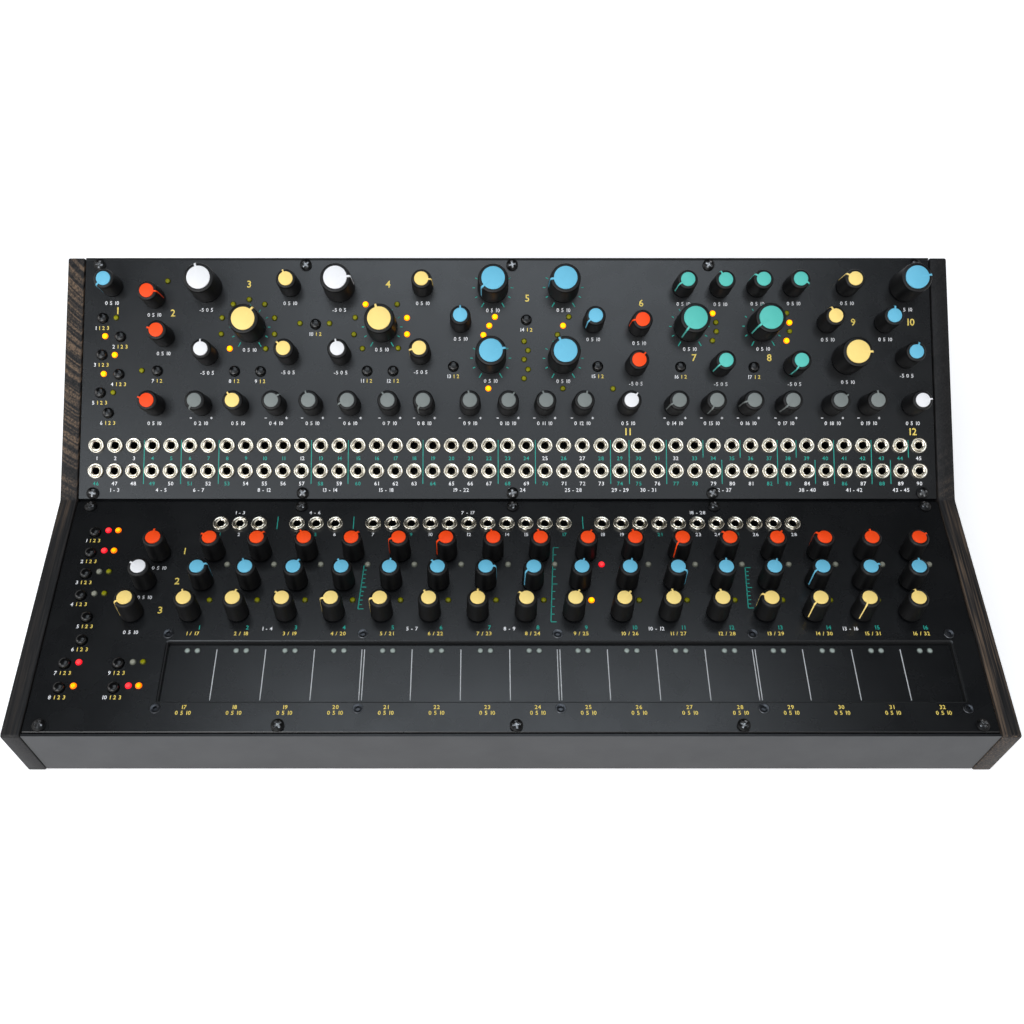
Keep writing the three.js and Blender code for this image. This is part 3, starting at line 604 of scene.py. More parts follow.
# black of the socket bores, also used for painted shade: the ring in each socket's gap, the frame
# in the touch window's gap and the line along the upper panel's top edge
bore_black_and_painted_shade = grained("black_socket_bore_and_painted_shade", (5, 5, 6), (8, 8, 9), 2000, (0.5, 0.6), 10)
rail_finish = grained("black_anodised_rail", (26, 27, 29), (34, 35, 37), 1800, (0.35, 0.45), 20,
                      Metallic=0.8)
rubber = grained("black_foot_rubber", (18, 18, 18), (26, 26, 26), 1500, (0.75, 0.9), 100,
                 strength=0.5)
plastic = grained("black_moulded_plastic", (20, 20, 22), (27, 27, 29), 1800, (0.3, 0.42), 30)
pin_metal = grained("brass_contact_pin", (200, 178, 120), (222, 204, 150), 1800, (0.2, 0.3), 10,
                    Metallic=1.0)
pad_face = grained("smoked_touch_surface", (6, 7, 9), (9, 10, 12), 2600, (0.24, 0.29), 10,
                   Specular_IOR_Level=0.7)
CAP_TONES = {
    WHITE: ((232, 232, 234), (240, 240, 242)),
    CREAM: ((254, 220, 128), (255, 228, 142)),
    RED: ((255, 70, 10), (255, 82, 18)),
    BLUE: ((100, 182, 212), (114, 194, 224)),
    TEAL: ((86, 190, 178), (100, 204, 194)),
    GREY: ((116, 122, 120), (130, 136, 134)),
}
cap_finish = {
    colour: grained(colour + "_cap_plastic", dark, light, 2600, (0.42, 0.54), 20,
                    Specular_IOR_Level=0.3)
    for colour, (dark, light) in CAP_TONES.items()
}
PRINT_TONES = {
    WHITE: ((236, 236, 238), (250, 250, 252)),
    CREAM: ((240, 210, 92), (250, 224, 116)),
    TEAL: ((18, 150, 136), (30, 170, 154)),
    GREY: ((184, 186, 188), (200, 202, 204)),
}
print_finish = {
    colour: grained(colour + "_panel_ink", dark, light, 4000, (0.5, 0.6), 10, clouds=300.0)
    for colour, (dark, light) in PRINT_TONES.items()
}


def lamp_finish(name, rim, middle, glow=0):
    """A small lens: its colour goes from the rim's to the middle's with the height of the dome,
    and a lit one also shines by it."""
    finish = Finish(name)
    dome = finish.node("Attribute", {"attribute_name": "dome"}).outputs["Fac"]
    height = finish.math("ADD", dome, finish.span(finish.noise(900.0), -0.06, 0.06))
    # painted shade: an unlit lens is darker towards its rim, where its dome slopes away from the
    # lamps, and lighter in the middle; a lit one is brighter in the middle by its glow
    colour = finish.ramp(height, [(0.08, rim), (0.5, middle)])
    finish.set(Base_Color=colour, Roughness=0.2, Specular_IOR_Level=0.2)
    if glow:
        finish.set(Emission_Color=colour, Emission_Strength=glow)
    finish.bump(finish.noise(1600.0), 0.2, 10)
    return finish.material


# the darker rims of the unlit lenses are painted shade
dim_lens = lamp_finish("unlit_amber_lens", (56, 56, 0), (142, 140, 6))
clear_lens = lamp_finish("unlit_clear_lens", (92, 94, 84), (150, 150, 136))
pad_lens = lamp_finish("unlit_pad_lens", (58, 64, 62), (160, 170, 164))
amber_lens = lamp_finish("lit_amber_lens", (255, 132, 0), (255, 220, 0), 1.25)
orange_lens = lamp_finish("lit_orange_lens", (255, 104, 0), (255, 168, 0), 1.1)
red_lens = lamp_finish("lit_red_lens", (232, 16, 34), (255, 58, 60), 1.1)


def wood_finish():
    """Dark stained open-grained wood, its grain along y. The growth rings are circles about a line
    190 mm from the middle and 165 mm up: noise over their radius gives streaks of uneven width.
    Strands and fibres run along the grain. Rings and strands are strong where x times y is
    negative and faint elsewhere, and towards the front the strands replace the rings."""
    finish = Finish("stained_cheek_wood")
    span, noise, combine = finish.span, finish.noise, finish.math
    x, y, z = finish.node("SeparateXYZ", Vector=finish.place).outputs
    across = combine("SUBTRACT", combine("ABSOLUTE", x), 0.19)
    above = combine("SUBTRACT", z, 0.165)
    squares = combine("MULTIPLY_ADD", across, across, combine("MULTIPLY", above, above))
    ring_place = finish.node("CombineXYZ", X=combine("SQRT", squares),
                             Y=combine("MULTIPLY", y, 0.02)).outputs["Vector"]
    rings = span(noise(1150.0, 0.8, 0.5, ring_place), 0.0, 1.0, 0.42, 0.6)
    strands = span(noise(1900.0, 2.0, 0.6, finish.stretched(0.6, 0.012, 1.0)),
                   0.0, 1.0, 0.38, 0.62)
    fibre = noise(2600.0, 3.0, 0.6, finish.stretched(1.0, 0.06, 1.0))
    side = combine("MULTIPLY", x, y)
    rings = combine("MULTIPLY", rings, span(side, 0.5, 0.05, -0.007, 0.007))
    strands = combine("MULTIPLY", strands, span(side, 0.36, 0.17, -0.007, 0.007))
    grain = combine("MULTIPLY", rings, span(y, 0.25, 1.0, -0.03, 0.01))
    grain = combine("MULTIPLY_ADD", strands, span(y, 1.7, 1.0, -0.03, 0.01), grain)
    grain = combine("MULTIPLY_ADD", fibre, 0.3, grain)
    colour = finish.ramp(grain, [
        (0.1, (9, 9, 10)), (0.32, (27, 26, 27)), (0.52, (45, 40, 37)), (0.76, (78, 65, 54)),
        (1.0, (112, 92, 74)),
    ])
    finish.set(Base_Color=colour, Specular_IOR_Level=0.3, Roughness=span(fibre, 0.62, 0.48))
    finish.bump(grain, 0.4, 150)
    return finish.material


def board_finish():
    """Green circuit board: a dark mask over a lighter net of tracks."""
    finish = Finish("green_circuit_board")
    tracks = finish.node("TexBrick", Vector=finish.place, Scale=90.0, Color1=tone(20, 62, 36),
                         Color2=tone(24, 70, 42), Mortar=tone(44, 104, 62), Mortar_Size=0.03)
    finish.set(Base_Color=tracks.outputs["Color"],
               Roughness=finish.span(finish.noise(200.0), 0.35, 0.5))
    finish.bump(finish.noise(900.0), 0.3, 30)
    return finish.material


cheek_wood = wood_finish()
circuit_board = board_finish()

# Drilled panels

JACK_HOLE = (3.0, 20)
SHAFT_HOLE = (3.4, 16)
BUTTON_HOLE = (3.0, 24)
LAMP_HOLE = (1.6, 16)
SCREW_HOLE = (1.5, 12)
FLUSH_HOLE = (2.6, 24)
WINDOW_CORNER = 1.2
WINDOW_SLOPE = 0.45


def hole_loops(specs):
    """Clockwise rims of round holes, given as ((radius, sides), places)."""
    return [circle(*hole, x, d)[::-1] for hole, places in specs for x, d in places]


left, right, top, bottom = WINDOW
window_rim = rounded_rectangle(left, right, -bottom, -top, WINDOW_CORNER)[::-1]
window_edge = rounded_rectangle(left - WINDOW_SLOPE, right + WINDOW_SLOPE, -bottom,
                                -top + WINDOW_SLOPE, WINDOW_CORNER)[::-1]
sheet_outline = rounded_rectangle(-HALF, HALF, -PANEL_HEIGHT, 0, 0.4)
upper_holes = hole_loops([
    (JACK_HOLE, UPPER_JACKS),
    (SHAFT_HOLE, places_of(large_knobs + small_knobs + trim_knobs + mix_knobs)),
    (BUTTON_HOLE, upper_buttons),
    (LAMP_HOLE, DIM_LAMPS + LIT_LAMPS),
    (SCREW_HOLE, SCREWS_TOP + SCREWS_BOTTOM),
])
lower_holes = [window_rim] + hole_loops([
    (JACK_HOLE, LOWER_JACKS),
    (SHAFT_HOLE, places_of(step_knobs + clock_knobs)),
    (BUTTON_HOLE, lower_buttons),
    (LAMP_HOLE, LOWER_DIM_LAMPS + LOWER_CLEAR_LAMPS + LOWER_RED_LAMPS + LOWER_LIT_LAMPS),
    (SCREW_HOLE, SCREWS_TOP + SCREWS_BOTTOM),
    (FLUSH_HOLE, FLUSH_SCREWS),
])
for name, holes, to_frame, first_rim in (
    ("upper_panel", upper_holes, on_upper, None),
    ("lower_panel", lower_holes, on_lower, window_edge),
):
    plate = drilled_plate(sheet_outline, holes, -PANEL_THICKNESS, 0, 0.25, first_rim)
    Skin().lay(plate, to_frame, smooth=False).piece(
        name + "_plate", [panel_paint], slot="panel_paint", replaced=(name,))

# Sockets

NUT = [
    (2.92, 0.0), (3.9, 0.0), (3.98, 0.12), (3.98, 1.05), (3.9, 1.28), (3.68, 1.48), (3.5, 1.5),
    (3.05, 1.34), (2.92, 1.2), (2.92, 0.0),
]
BUSH = [
    (1.86, 0.2), (2.8, 0.2), (2.8, 1.3), (2.68, 1.52), (2.42, 1.6), (2.26, 1.5), (1.86, 1.05),
    (1.86, 0.2),
]
# a black ring sunk in the gap between nut and bush: painted shade in that gap
GAP_SHADE_RING = [(2.7, 0.1), (3.0, 0.1), (3.0, 0.9), (2.7, 0.9), (2.7, 0.1)]
BORE = [(0, -9.0), (2.6, -9.0), (2.6, 0.3), (1.95, 0.8), (1.82, 0.8), (1.82, -8.5), (0, -8.5)]
# nickel nuts and threaded bushes; the black ring in the gap between them is painted shade, and the
# tube below is the socket's black bore
for name, places, to_frame in (
    ("upper_sockets_first_row", UPPER_JACKS[:JACK_COLUMNS], on_upper),
    ("upper_sockets_second_row", UPPER_JACKS[JACK_COLUMNS:], on_upper),
    ("lower_sockets", LOWER_JACKS, on_lower),
):
    skin = Skin()
    for profile, finish in ((NUT, 0), (BUSH, 0), (GAP_SHADE_RING, 1), (BORE, 1)):
        skin.lay(turned_profile(profile, 24), to_frame, places, finish)
    skin.piece(name, [nickel, bore_black_and_painted_shade], slot="panel_paint", sharp=38)

# Knobs

SMALL_BODY = [
    (0, 0.8), (5.3, 0.8), (5.5, 1.0), (5.5, 2.2), (5.42, 2.5), (5.22, 12.7), (5.16, 13.3),
    (5.0, 13.9), (4.76, 14.3), (4.42, 14.54), (3.75, 14.6), (3.68, 14.2), (0, 14.2),
]
SMALL_CAP = [(0, 14.1), (3.56, 14.1), (3.6, 14.75), (3.52, 14.94), (3.36, 15.0), (0, 15.0)]
SMALL_LINE = [(1.0, 14.8), (1.3, 15.12), (3.7, 15.12), (4.75, 14.86), (5.24, 14.0),
              (5.38, 13.0), (5.54, 2.8), (5.46, 2.4)]
LARGE_BODY = [
    (0, 0.8), (7.8, 0.8), (8.0, 1.0), (8.0, 2.6), (7.9, 3.0), (7.72, 16.3), (7.62, 16.95),
    (7.36, 17.45), (6.9, 17.7), (6.1, 17.75), (6.02, 17.3), (0, 17.3),
]
LARGE_CAP = [(0, 17.2), (5.88, 17.2), (5.92, 17.9), (5.84, 18.12), (5.66, 18.2), (0, 18.2)]
LARGE_LINE = [(2.0, 18.0), (2.4, 18.32), (6.1, 18.32), (7.3, 18.02), (7.84, 17.1),
              (7.86, 16.0), (8.02, 3.4), (7.96, 3.0)]
# body, cap, pointer line, the line's width, sides
KINDS = {
    "large": (LARGE_BODY, LARGE_CAP, LARGE_LINE, 1.1, 40),
    "small": (SMALL_BODY, SMALL_CAP, SMALL_LINE, 0.85, 30),
}
LINE_SINK = 0.5
STEP_KNOB_GIRTH = 0.965
SPINDLE = turned_profile([(0, -2.0), (3.0, -2.0), (3.0, 0.9), (0, 0.9)], 16)


def pointer_line(path, width):
    """A raised line carried along a path of (distance from the axis, height): across the cap, over
    the shoulder and down the side. Its section is a low arch sunk into the body, narrower on the
    side than on the cap."""
    step = np.gradient(path, axis=0)
    step /= np.linalg.norm(step, axis=1, keepdims=True)
    outward = np.stack([-step[:, 1], step[:, 0]], -1)
    half = np.full(len(path), width / 2)
    half[-3:] *= 0.8
    sunk = np.array([LINE_SINK, 0.06, 0.06, LINE_SINK])
    away = path[:, None, 0] - outward[:, None, 0] * sunk
    rise = path[:, None, 1] - outward[:, None, 1] * sunk
    side = half[:, None] * np.array([-1.0, -0.8, 0.8, 1.0])
    return closed_loft(np.stack([side, away, rise], -1)[:, ::-1])


def draw_knob(knob, to_frame, moves, girth=1.0):
    """One knob: a tapered body, a flat coloured cap let into its top, and its pointer line. One
    that moves is a body of its own and has its spindle."""
    name, kind, *place, colour = knob
    *profiles, line_width, sides = KINDS[kind]
    body, cap, line = (np.array(profile) * (girth, 1.0) for profile in profiles)
    skin = Skin().lay(turned_profile(body, sides), to_frame, [place], 0)
    skin.lay(turned_profile(cap, sides), to_frame, [place], 1)
    skin.lay(pointer_line(line, line_width), to_frame, [place], 1, False)
    finishes = [knob_body, cap_finish[colour], rail_finish]
    if moves:
        skin.lay(SPINDLE, to_frame, [place], 2)
        skin.piece(name + "_cap_and_body", finishes, body=name, slot="knob_rubber",
                   replaced=(name,), sharp=32)
    else:
        skin.piece(name, finishes, slot="knob_rubber", sharp=32)


for knob in large_knobs + small_knobs:
    draw_knob(knob, on_upper, True)
for knob in clock_knobs:
    draw_knob(knob, on_lower, True)
for knob in trim_knobs + mix_knobs:
    draw_knob(knob, on_upper, False)
for knob in step_knobs:
    draw_knob(knob, on_lower, False, STEP_KNOB_GIRTH)

# Buttons

BUTTON = turned_profile([
    (0, -4.6), (1.6, -4.6), (1.7, -2.2), (2.55, -1.0), (2.6, -0.8), (2.6, 1.2), (2.56, 1.5),
    (2.42, 1.84), (2.15, 2.14), (1.75, 2.36), (1.25, 2.51), (0.65, 2.58), (0, 2.6),
], 32)
for panel, places, to_frame, moving in (
    ("upper", upper_buttons, on_upper, UPPER_MOVING_BUTTONS),
    ("lower", lower_buttons, on_lower, LOWER_MOVING_BUTTONS),
):
    for i, place in enumerate(places):
        name = f"{panel}_button_{i + 1}"
        moves = {"body": name, "replaced": (name,)} if i < moving else {}
        Skin().lay(BUTTON, to_frame, [place]).piece(
            name + "_dome", [button_black], slot="button_plastic", sharp=50, **moves)


# Screws and rails

# shares of a cross-head screw's radius
RECESS_DEPTH, RECESS_HALF_WIDTH, RECESS_REACH = 0.32, 0.17, 0.62


def cross_head(radius, height):
    """A domed head on a polar grid: the height falls with the square of the radius, and a cross
    recess is cut where one coordinate is within the recess's half width and the other within its
    length. The rim goes down to the panel and closes under the head. The faces of the recess come
    last, in groups of their own."""
    sides, rings, depth = 36, 13, RECESS_DEPTH * radius
    reach = np.concatenate([np.linspace(0.2, 1.0, rings), [1.0, 0.96]])[:, None] * radius
    angle = turns_round(sides) + math.pi / sides
    x = reach * np.cos(angle)
    y = reach * np.sin(angle)
    z = height * (1 - 0.5 * (reach / radius) ** 2) + 0 * x
    across, along = np.minimum(np.abs(x), np.abs(y)), np.maximum(np.abs(x), np.abs(y))
    cut = (across < RECESS_HALF_WIDTH * radius) & (along < RECESS_REACH * radius)
    z = np.where(cut, z - depth * (1 - 0.5 * along / radius), z)
    z[-2] = 0.25
    z[-1] = 0.0
    top = np.stack([x, y, z], -1)[::-1]
    points = np.vstack([top.reshape(-1, 3), [0, 0, height - depth], [0, 0, 0.0]])
    last = (len(reach) - 1) * sides
    around = np.arange(sides)
    ahead = (around + 1) % sides
    middle = np.full(sides, len(points) - 2)
    under = np.full(sides, len(points) - 1)
    quads = grid(len(reach), sides)
    recess = cut[::-1].reshape(-1)[quads].any(1)
    return points, [
        quads[~recess],
        np.stack([under, ahead, around], -1),
        quads[recess],
        np.stack([last + around, last + ahead, middle], -1),
    ]


def socket_head(radius):
    """A flush screw head: a profile carried round the axis, whose two lowest inner rings are
    pulled to a hexagon by dividing their radius by the cosine of the turn from the nearest flat's
    middle."""
    sides, rings = 24, 8
    profile = [(0, -1.9), (radius - 0.1, -1.9), (radius, -1.8), (radius, 0.12),
               (radius - 0.18, 0.3), (1.75, 0.3), (1.5, 0.18), (1.12, 0.1), (1.12, -1.1), (0, -1.1)]
    points, faces = turned_profile(profile, sides)
    from_flat = (turns_round(sides) + math.pi / 6) % (math.pi / 3) - math.pi / 6
    hexagons = points[: rings * sides].reshape(rings, sides, 3)[-2:, :, :2]
    hexagons /= np.cos(from_flat)[:, None]
    return points, faces


def side_point(to_frame, down, out):
    """A point of the side view as (y, z)."""
    return to_frame([0.0, -down, out])[1:]


SHANK = turned_profile([(0, -6.3), (1.1, -6.3), (1.1, 0.1), (0, 0.1)], 10)
# the recess faces take the bright metal that paints the glints
HEAD_FINISHES = (0, 0, 1, 1)
SCREW_TURNS = [12, 50, 78, 31, 64]
RAIL_CHAMFER = 0.3
RAIL_STATIONS = [(-HALF, RAIL_CHAMFER), (-HALF + RAIL_CHAMFER, 0), (HALF - RAIL_CHAMFER, 0),
                 (HALF, RAIL_CHAMFER)]
railed = PANEL_HEIGHT - 0.6
# name, rows of screws, corners of the side view as (panel, down): lower ones, upper ones
for name, rows, lower_corners, upper_corners in (
    ("top_rail", [(SCREWS_TOP, on_upper)],
     [(on_upper, 8.0), (on_upper, 1.7)], [(on_upper, 1.7), (on_upper, 8.0)]),
    ("front_rail", [(SCREWS_BOTTOM, on_lower)],
     [(on_lower, 125.2), (on_lower, 118.9)], [(on_lower, 118.9), (on_lower, 125.2)]),
    ("bend_rail", [(SCREWS_BOTTOM, on_upper), (SCREWS_TOP, on_lower)],
     [(on_lower, 6.9), (on_upper, railed - 6.3)],
     [(on_upper, railed - 6.3), (on_upper, railed), (on_lower, 0.6), (on_lower, 6.9)]),
):
    outline = [side_point(*corner, BOARD_FACE) for corner in lower_corners]
    outline += [side_point(*corner, BEHIND_PANEL) for corner in upper_corners]
    skin = Skin().add(bar(outline, RAIL_STATIONS), smooth=False)
    for places, to_frame in rows:
        skin.lay(SHANK, to_frame, places, 0, False)
    skin.piece(name + "_bar", [rail_finish], slot="rail_metal", replaced=(name,))


def cross_screws(name, places, to_frame, radius=3.0, height=2.2):
    """A row of cross-head screws, turned each in its own way."""
    turned = [(x, d, SCREW_TURNS[i % 5]) for i, (x, d) in enumerate(places)]
    Skin().lay(cross_head(radius, height), to_frame, turned, HEAD_FINISHES).piece(
        name, [screw_black, painted_glint_recess_metal], slot="rail_metal", sharp=30)


cross_screws("upper_panel_top_screws", SCREWS_TOP, on_upper)
cross_screws("upper_panel_foot_screws", SCREWS_BOTTOM, on_upper)
cross_screws("lower_panel_top_screws", SCREWS_TOP, on_lower)
cross_screws("lower_panel_front_screws", SCREWS_BOTTOM, on_lower)
Skin().lay(socket_head(2.4), on_lower, FLUSH_SCREWS).piece(
    "touch_board_screws", [socket_metal], slot="rail_metal", sharp=30)

# Lamps

LENS = [(0, -1.9), (1.4, -1.9), (1.56, -1.7), (1.56, 0.15), (1.46, 0.5), (1.15, 0.8), (0.65, 0.97),
        (0, 1.0)]
PAD_LENS = [(0, -2.28), (1.4, -2.28), (1.5, -2.2), (1.4, -2.0), (1.0, -1.86), (0, -1.8)]
LENS_REACH = 1.5
for name, places, to_frame, finish, profile in (
    ("upper_unlit_lamps", DIM_LAMPS, on_upper, dim_lens, LENS),
    ("upper_lit_lamps", LIT_LAMPS, on_upper, amber_lens, LENS),
    ("lower_unlit_lamps", LOWER_DIM_LAMPS, on_lower, dim_lens, LENS),
    ("lower_clear_lamps", LOWER_CLEAR_LAMPS, on_lower, clear_lens, LENS),
    ("lower_red_lamps", LOWER_RED_LAMPS, on_lower, red_lens, LENS),
    ("lower_lit_lamps", LOWER_LIT_LAMPS[:-1], on_lower, orange_lens, LENS),
    ("lit_step_lamp", LOWER_LIT_LAMPS[-1:], on_lower, amber_lens, LENS),
    ("touch_pad_lamps", PAD_LAMPS, on_lower, pad_lens, PAD_LENS),
):
    points, faces = turned_profile(profile, 14)
    dome = 1 - np.hypot(points[:, 0], points[:, 1]) / LENS_REACH
    dome = np.where(points[:, 2] > profile[0][1] + 0.01, dome, 0.0)
    Skin().lay((points, faces), to_frame, places, value=dome).piece(
        name, [finish], slot="socket_plastic")

# Touch strip

rim = window_rim[::-1]
# painted shade: a black frame between the window's rim and the pad face stands for the shade in
# that gap
window_shade_frame = np.concatenate([
    np.column_stack([drawn_in(rim, inset), np.full(len(rim), z)])
    for inset, z in ((0.02, -2.2), (0.02, -0.3), (0.55, -0.3), (0.55, -2.2), (0.02, -2.2))
])
Skin().lay((window_shade_frame, [grid(5, len(rim))]), on_lower, smooth=False).piece(
    "touch_window_painted_shade_frame", [bore_black_and_painted_shade], slot="rail_metal")
FIRST_DIVIDER = -136.9
DIVIDER_ENDS = (82.4, 108.3)
DIVIDER_ACROSS = np.array([-0.5, -0.4, 0.4, 0.5])
DIVIDER_HEIGHT = [-2.3, -2.24, -2.24, -2.3]
PAIRED_DIVIDERS = (3, 7, 11)
skin = Skin()
for i in range(STEPS - 1):
    sides, width = ((-0.62, 0.62), 0.42) if i in PAIRED_DIVIDERS else ((0,), 0.45)
    for side in sides:
        across = FIRST_DIVIDER + PAD_PITCH * i + side + DIVIDER_ACROSS * width
        skin.lay(closed_loft([
            np.column_stack([across, np.full(4, -down), DIVIDER_HEIGHT])[::-1]
            for down in DIVIDER_ENDS
        ]), on_lower, smooth=False)
skin.piece("pad_dividers", [print_finish[GREY]], slot="touch_board_face")

# Printed marks

GLYPH_SIZE = 0.7
GLYPH_GAP = 0.14
BLANK = 0.3
glyphs = {}


def glyph(text):
    """A numeral's flat outline as points, faces and width, its baseline at zero, one unit high."""
    if text not in glyphs:
        curve = bpy.data.curves.new("numeral", "FONT")
        curve.body = text
        curve.size = 1.0
        curve.resolution_u = 2
        curve.fill_mode = "BOTH"
        curve.extrude = 0.01
        curve.offset = 0.012
        source = bpy.data.objects.new("numeral", curve)
        bpy.context.scene.collection.objects.link(source)
        mesh = bpy.data.meshes.new_from_object(source)
        points = np.zeros(len(mesh.vertices) * 3)
        mesh.vertices.foreach_get("co", points)
        points = points.reshape(-1, 3) / GLYPH_SIZE
        faces = {}
        for polygon in mesh.polygons:
            faces.setdefault(len(polygon.vertices), []).append(list(polygon.vertices))
        glyphs[text] = (points, [np.array(f) for f in faces.values()], points[:, 0].max())
        bpy.data.objects.remove(source)
    return glyphs[text]


def ruled(x1, d1, x2, d2, width):
    """A straight printed line from one place to another."""
    start, end = np.array([x1, -d1]), np.array([x2, -d2])
    along = (end - start) / np.linalg.norm(end - start)
    side = np.array([along[1], -along[0]]) * width / 2
    return closed_loft([
        [[*(p - side), INK_LOW], [*(p + side), INK_LOW], [*(p + side), INK_HIGH],
         [*(p - side), INK_HIGH]]
        for p in (start, end)
    ])


class Printing:
    """The printing on one panel: a thin skin just above it for each ink."""

    def __init__(self, panel, to_frame):
        self.panel, self.to_frame = panel, to_frame
        self.inks = {colour: Skin() for colour in (WHITE, CREAM, TEAL)}

    def rule(self, colour, x1, d1, x2, d2, width=0.4):
        self.inks[colour].lay(ruled(x1, d1, x2, d2, width), self.to_frame, smooth=False)

    def label(self, colour, text, across, down, height=SMALL_PRINT, after=False):
        """Numerals in a row, centred on a place or starting there. Gives back the row's end."""
        shapes = [None if c == " " else glyph(c) for c in text]
        wide = np.array([BLANK if shape is None else shape[2] for shape in shapes])
        starts = np.cumsum(wide + GLYPH_GAP) - wide - GLYPH_GAP
        length = (starts[-1] + wide[-1]) * height
        across = across if after else across - length / 2
        for shape, start in zip(shapes, starts):
            if shape is not None:
                points, faces, _ = shape
                local = points * (height, height, 1.0)
                local[:, 2] = np.where(points[:, 2] > 0, INK_HIGH, INK_LOW)
                self.inks[colour].lay((local, faces), self.to_frame,
                                      [(across + start * height, down + height / 2)], 0, False)
        return across + length

    def two_tone(self, first, second, across, down):
        """A white number followed by cream ones, together centred on a place."""
        width = 0.62 * SMALL_PRINT * (len(first) + len(second) + 1)
        end = self.label(WHITE, first, across - width / 2, down, after=True)
        self.label(CREAM, second, end + 0.5 * SMALL_PRINT, down, after=True)

    def dial(self, across, down):
        """Eleven short lines round a knob, 30 degrees apart, longer at the ends and the top."""
        inner, outer = 9.2, 11.8
        for step in range(11):
            turn = math.radians(step * 30 - 150)
            reach = outer if step % 5 == 0 else (inner + outer) / 2
            s, c = math.sin(turn), math.cos(turn)
            self.rule(TEAL, across + s * inner, down - c * inner, across + s * reach,
                      down - c * reach, 0.5)

    def scale_bar(self, across, top, bottom):
        """A leaning scale between two rows of knobs: a line with eleven marks across it."""
        lean = (bottom - top) * 0.06
        self.rule(TEAL, across, top, across - lean, bottom, 0.45)
        for k, share in enumerate(np.linspace(0, 1, 11)):
            x, d = across - lean * share, top + (bottom - top) * share
            self.rule(TEAL, x, d, x + (2.6 if k % 5 == 0 else 1.6), d, 0.45)

    def pieces(self):
        for colour, skin in self.inks.items():
            skin.piece(f"{self.panel}_{colour}_print", [print_finish[colour]], slot="panel_paint")


upper = Printing("upper", on_upper)
lower = Printing("lower", on_lower)
FULL_RULES = [-185.3, -166.4, -147.2, -100.0, -81.2, -43.1, -4.8, 14.2, 52.5, 62.0, 81.0, 137.6,
              166.4, 185.5]
for printing, places, start, end in (
    (upper, FULL_RULES, 94.4, 116.9),
    (upper, (99.7, 118.6, 147.2, 204.4), 94.4, 103.4),
    (upper, (109.2, 156.7, 195.1), 104.6, 116.9),
    (lower, (-115.4, -77.3, 37.5), 9.0, 16.5),
):
    for x in places:
        printing.rule(TEAL, x, start, x, end)
group_starts = [0] + [int(round(x / JACK_PITCH + MIDDLE_COLUMN + 0.5)) for x in FULL_RULES]
WHITE_IN_FIRST_ROW = (0, 1, 2, 11, 24, 26, 31, 44)
TEAL_IN_SECOND_ROW = group_starts + [32, 36]
FIRST_NUMBERS, SECOND_NUMBERS, RANGE_NUMBERS = 103.75, 116.7, 120.0
for i, (x, _) in enumerate(UPPER_JACKS[:JACK_COLUMNS]):
    first = WHITE if i in WHITE_IN_FIRST_ROW else TEAL
    second = TEAL if i in TEAL_IN_SECOND_ROW else WHITE
    upper.label(first, str(i + 1), x, FIRST_NUMBERS)
    upper.label(second, str(i + 1 + JACK_COLUMNS), x, SECOND_NUMBERS)
for a, b in zip(group_starts, group_starts[1:] + [JACK_COLUMNS]):
    middle = ((a + b - 1) / 2 - MIDDLE_COLUMN) * JACK_PITCH
    upper.label(WHITE, f"{a + 1} - {b}", middle, RANGE_NUMBERS)

# how far under the middle of a knob, button or jack its numbers stand
UNDER_LARGE, UNDER_SMALL, UNDER_FIXED, UNDER_CLOCK, UNDER_CREAM = 11.9, 8.8, 9.3, 8.6, 10.5
UNDER_UPPER_BUTTON, UNDER_LOWER_BUTTON, UNDER_LOWER_JACK = 5.1, 4.6, 6.1
for knobs, below in ((large_knobs, UNDER_LARGE), (small_knobs, UNDER_SMALL)):
    for name, kind, x, d, turn, colour in knobs:
        upper.label(WHITE, "-5 0 5" if colour == WHITE else "0 5 10", x, d + below)
        if kind == "large" and colour != WHITE and name not in ("time_knob", "feedback_knob"):
            upper.dial(x, d)
for x, d in places_of(trim_knobs):
    upper.label(WHITE, "-5 0 5", x, d + UNDER_FIXED)
MINUS_AND_PLUS = [(-5.9, 6.6, -4.7, 6.6), (4.7, 6.6, 5.9, 6.6), (5.3, 6.0, 5.3, 7.2)]
for i, (*_, x, d, turn, colour) in enumerate(mix_knobs):
    upper.label(WHITE, f"0 {i + 1} 10" if colour == GREY else "0 5 10", x, d + UNDER_FIXED)
    if colour == GREY:
        for x1, d1, x2, d2 in MINUS_AND_PLUS:
            upper.rule(WHITE, x + x1, d + d1, x + x2, d + d2)
for i, (x, d) in enumerate(upper_buttons):
    upper.two_tone(str(i + 1), "1 2 3" if i < UPPER_MOVING_BUTTONS else "1 2", x,
                   d + UNDER_UPPER_BUTTON)
for i, (x, d) in enumerate([
    (-201.3, 27.0), (-172.4, 28.2), (-133.5, 13.0), (-61.6, 13.0), (10.2, 20.4), (69.0, 23.0),
    (95.9, 51.6), (134.5, 51.6), (178.1, 33.0), (207.5, 33.0), (61.1, 90.0), (206.7, 90.0),
]):
    upper.label(CREAM, str(i + 1), x, d, HEADING)

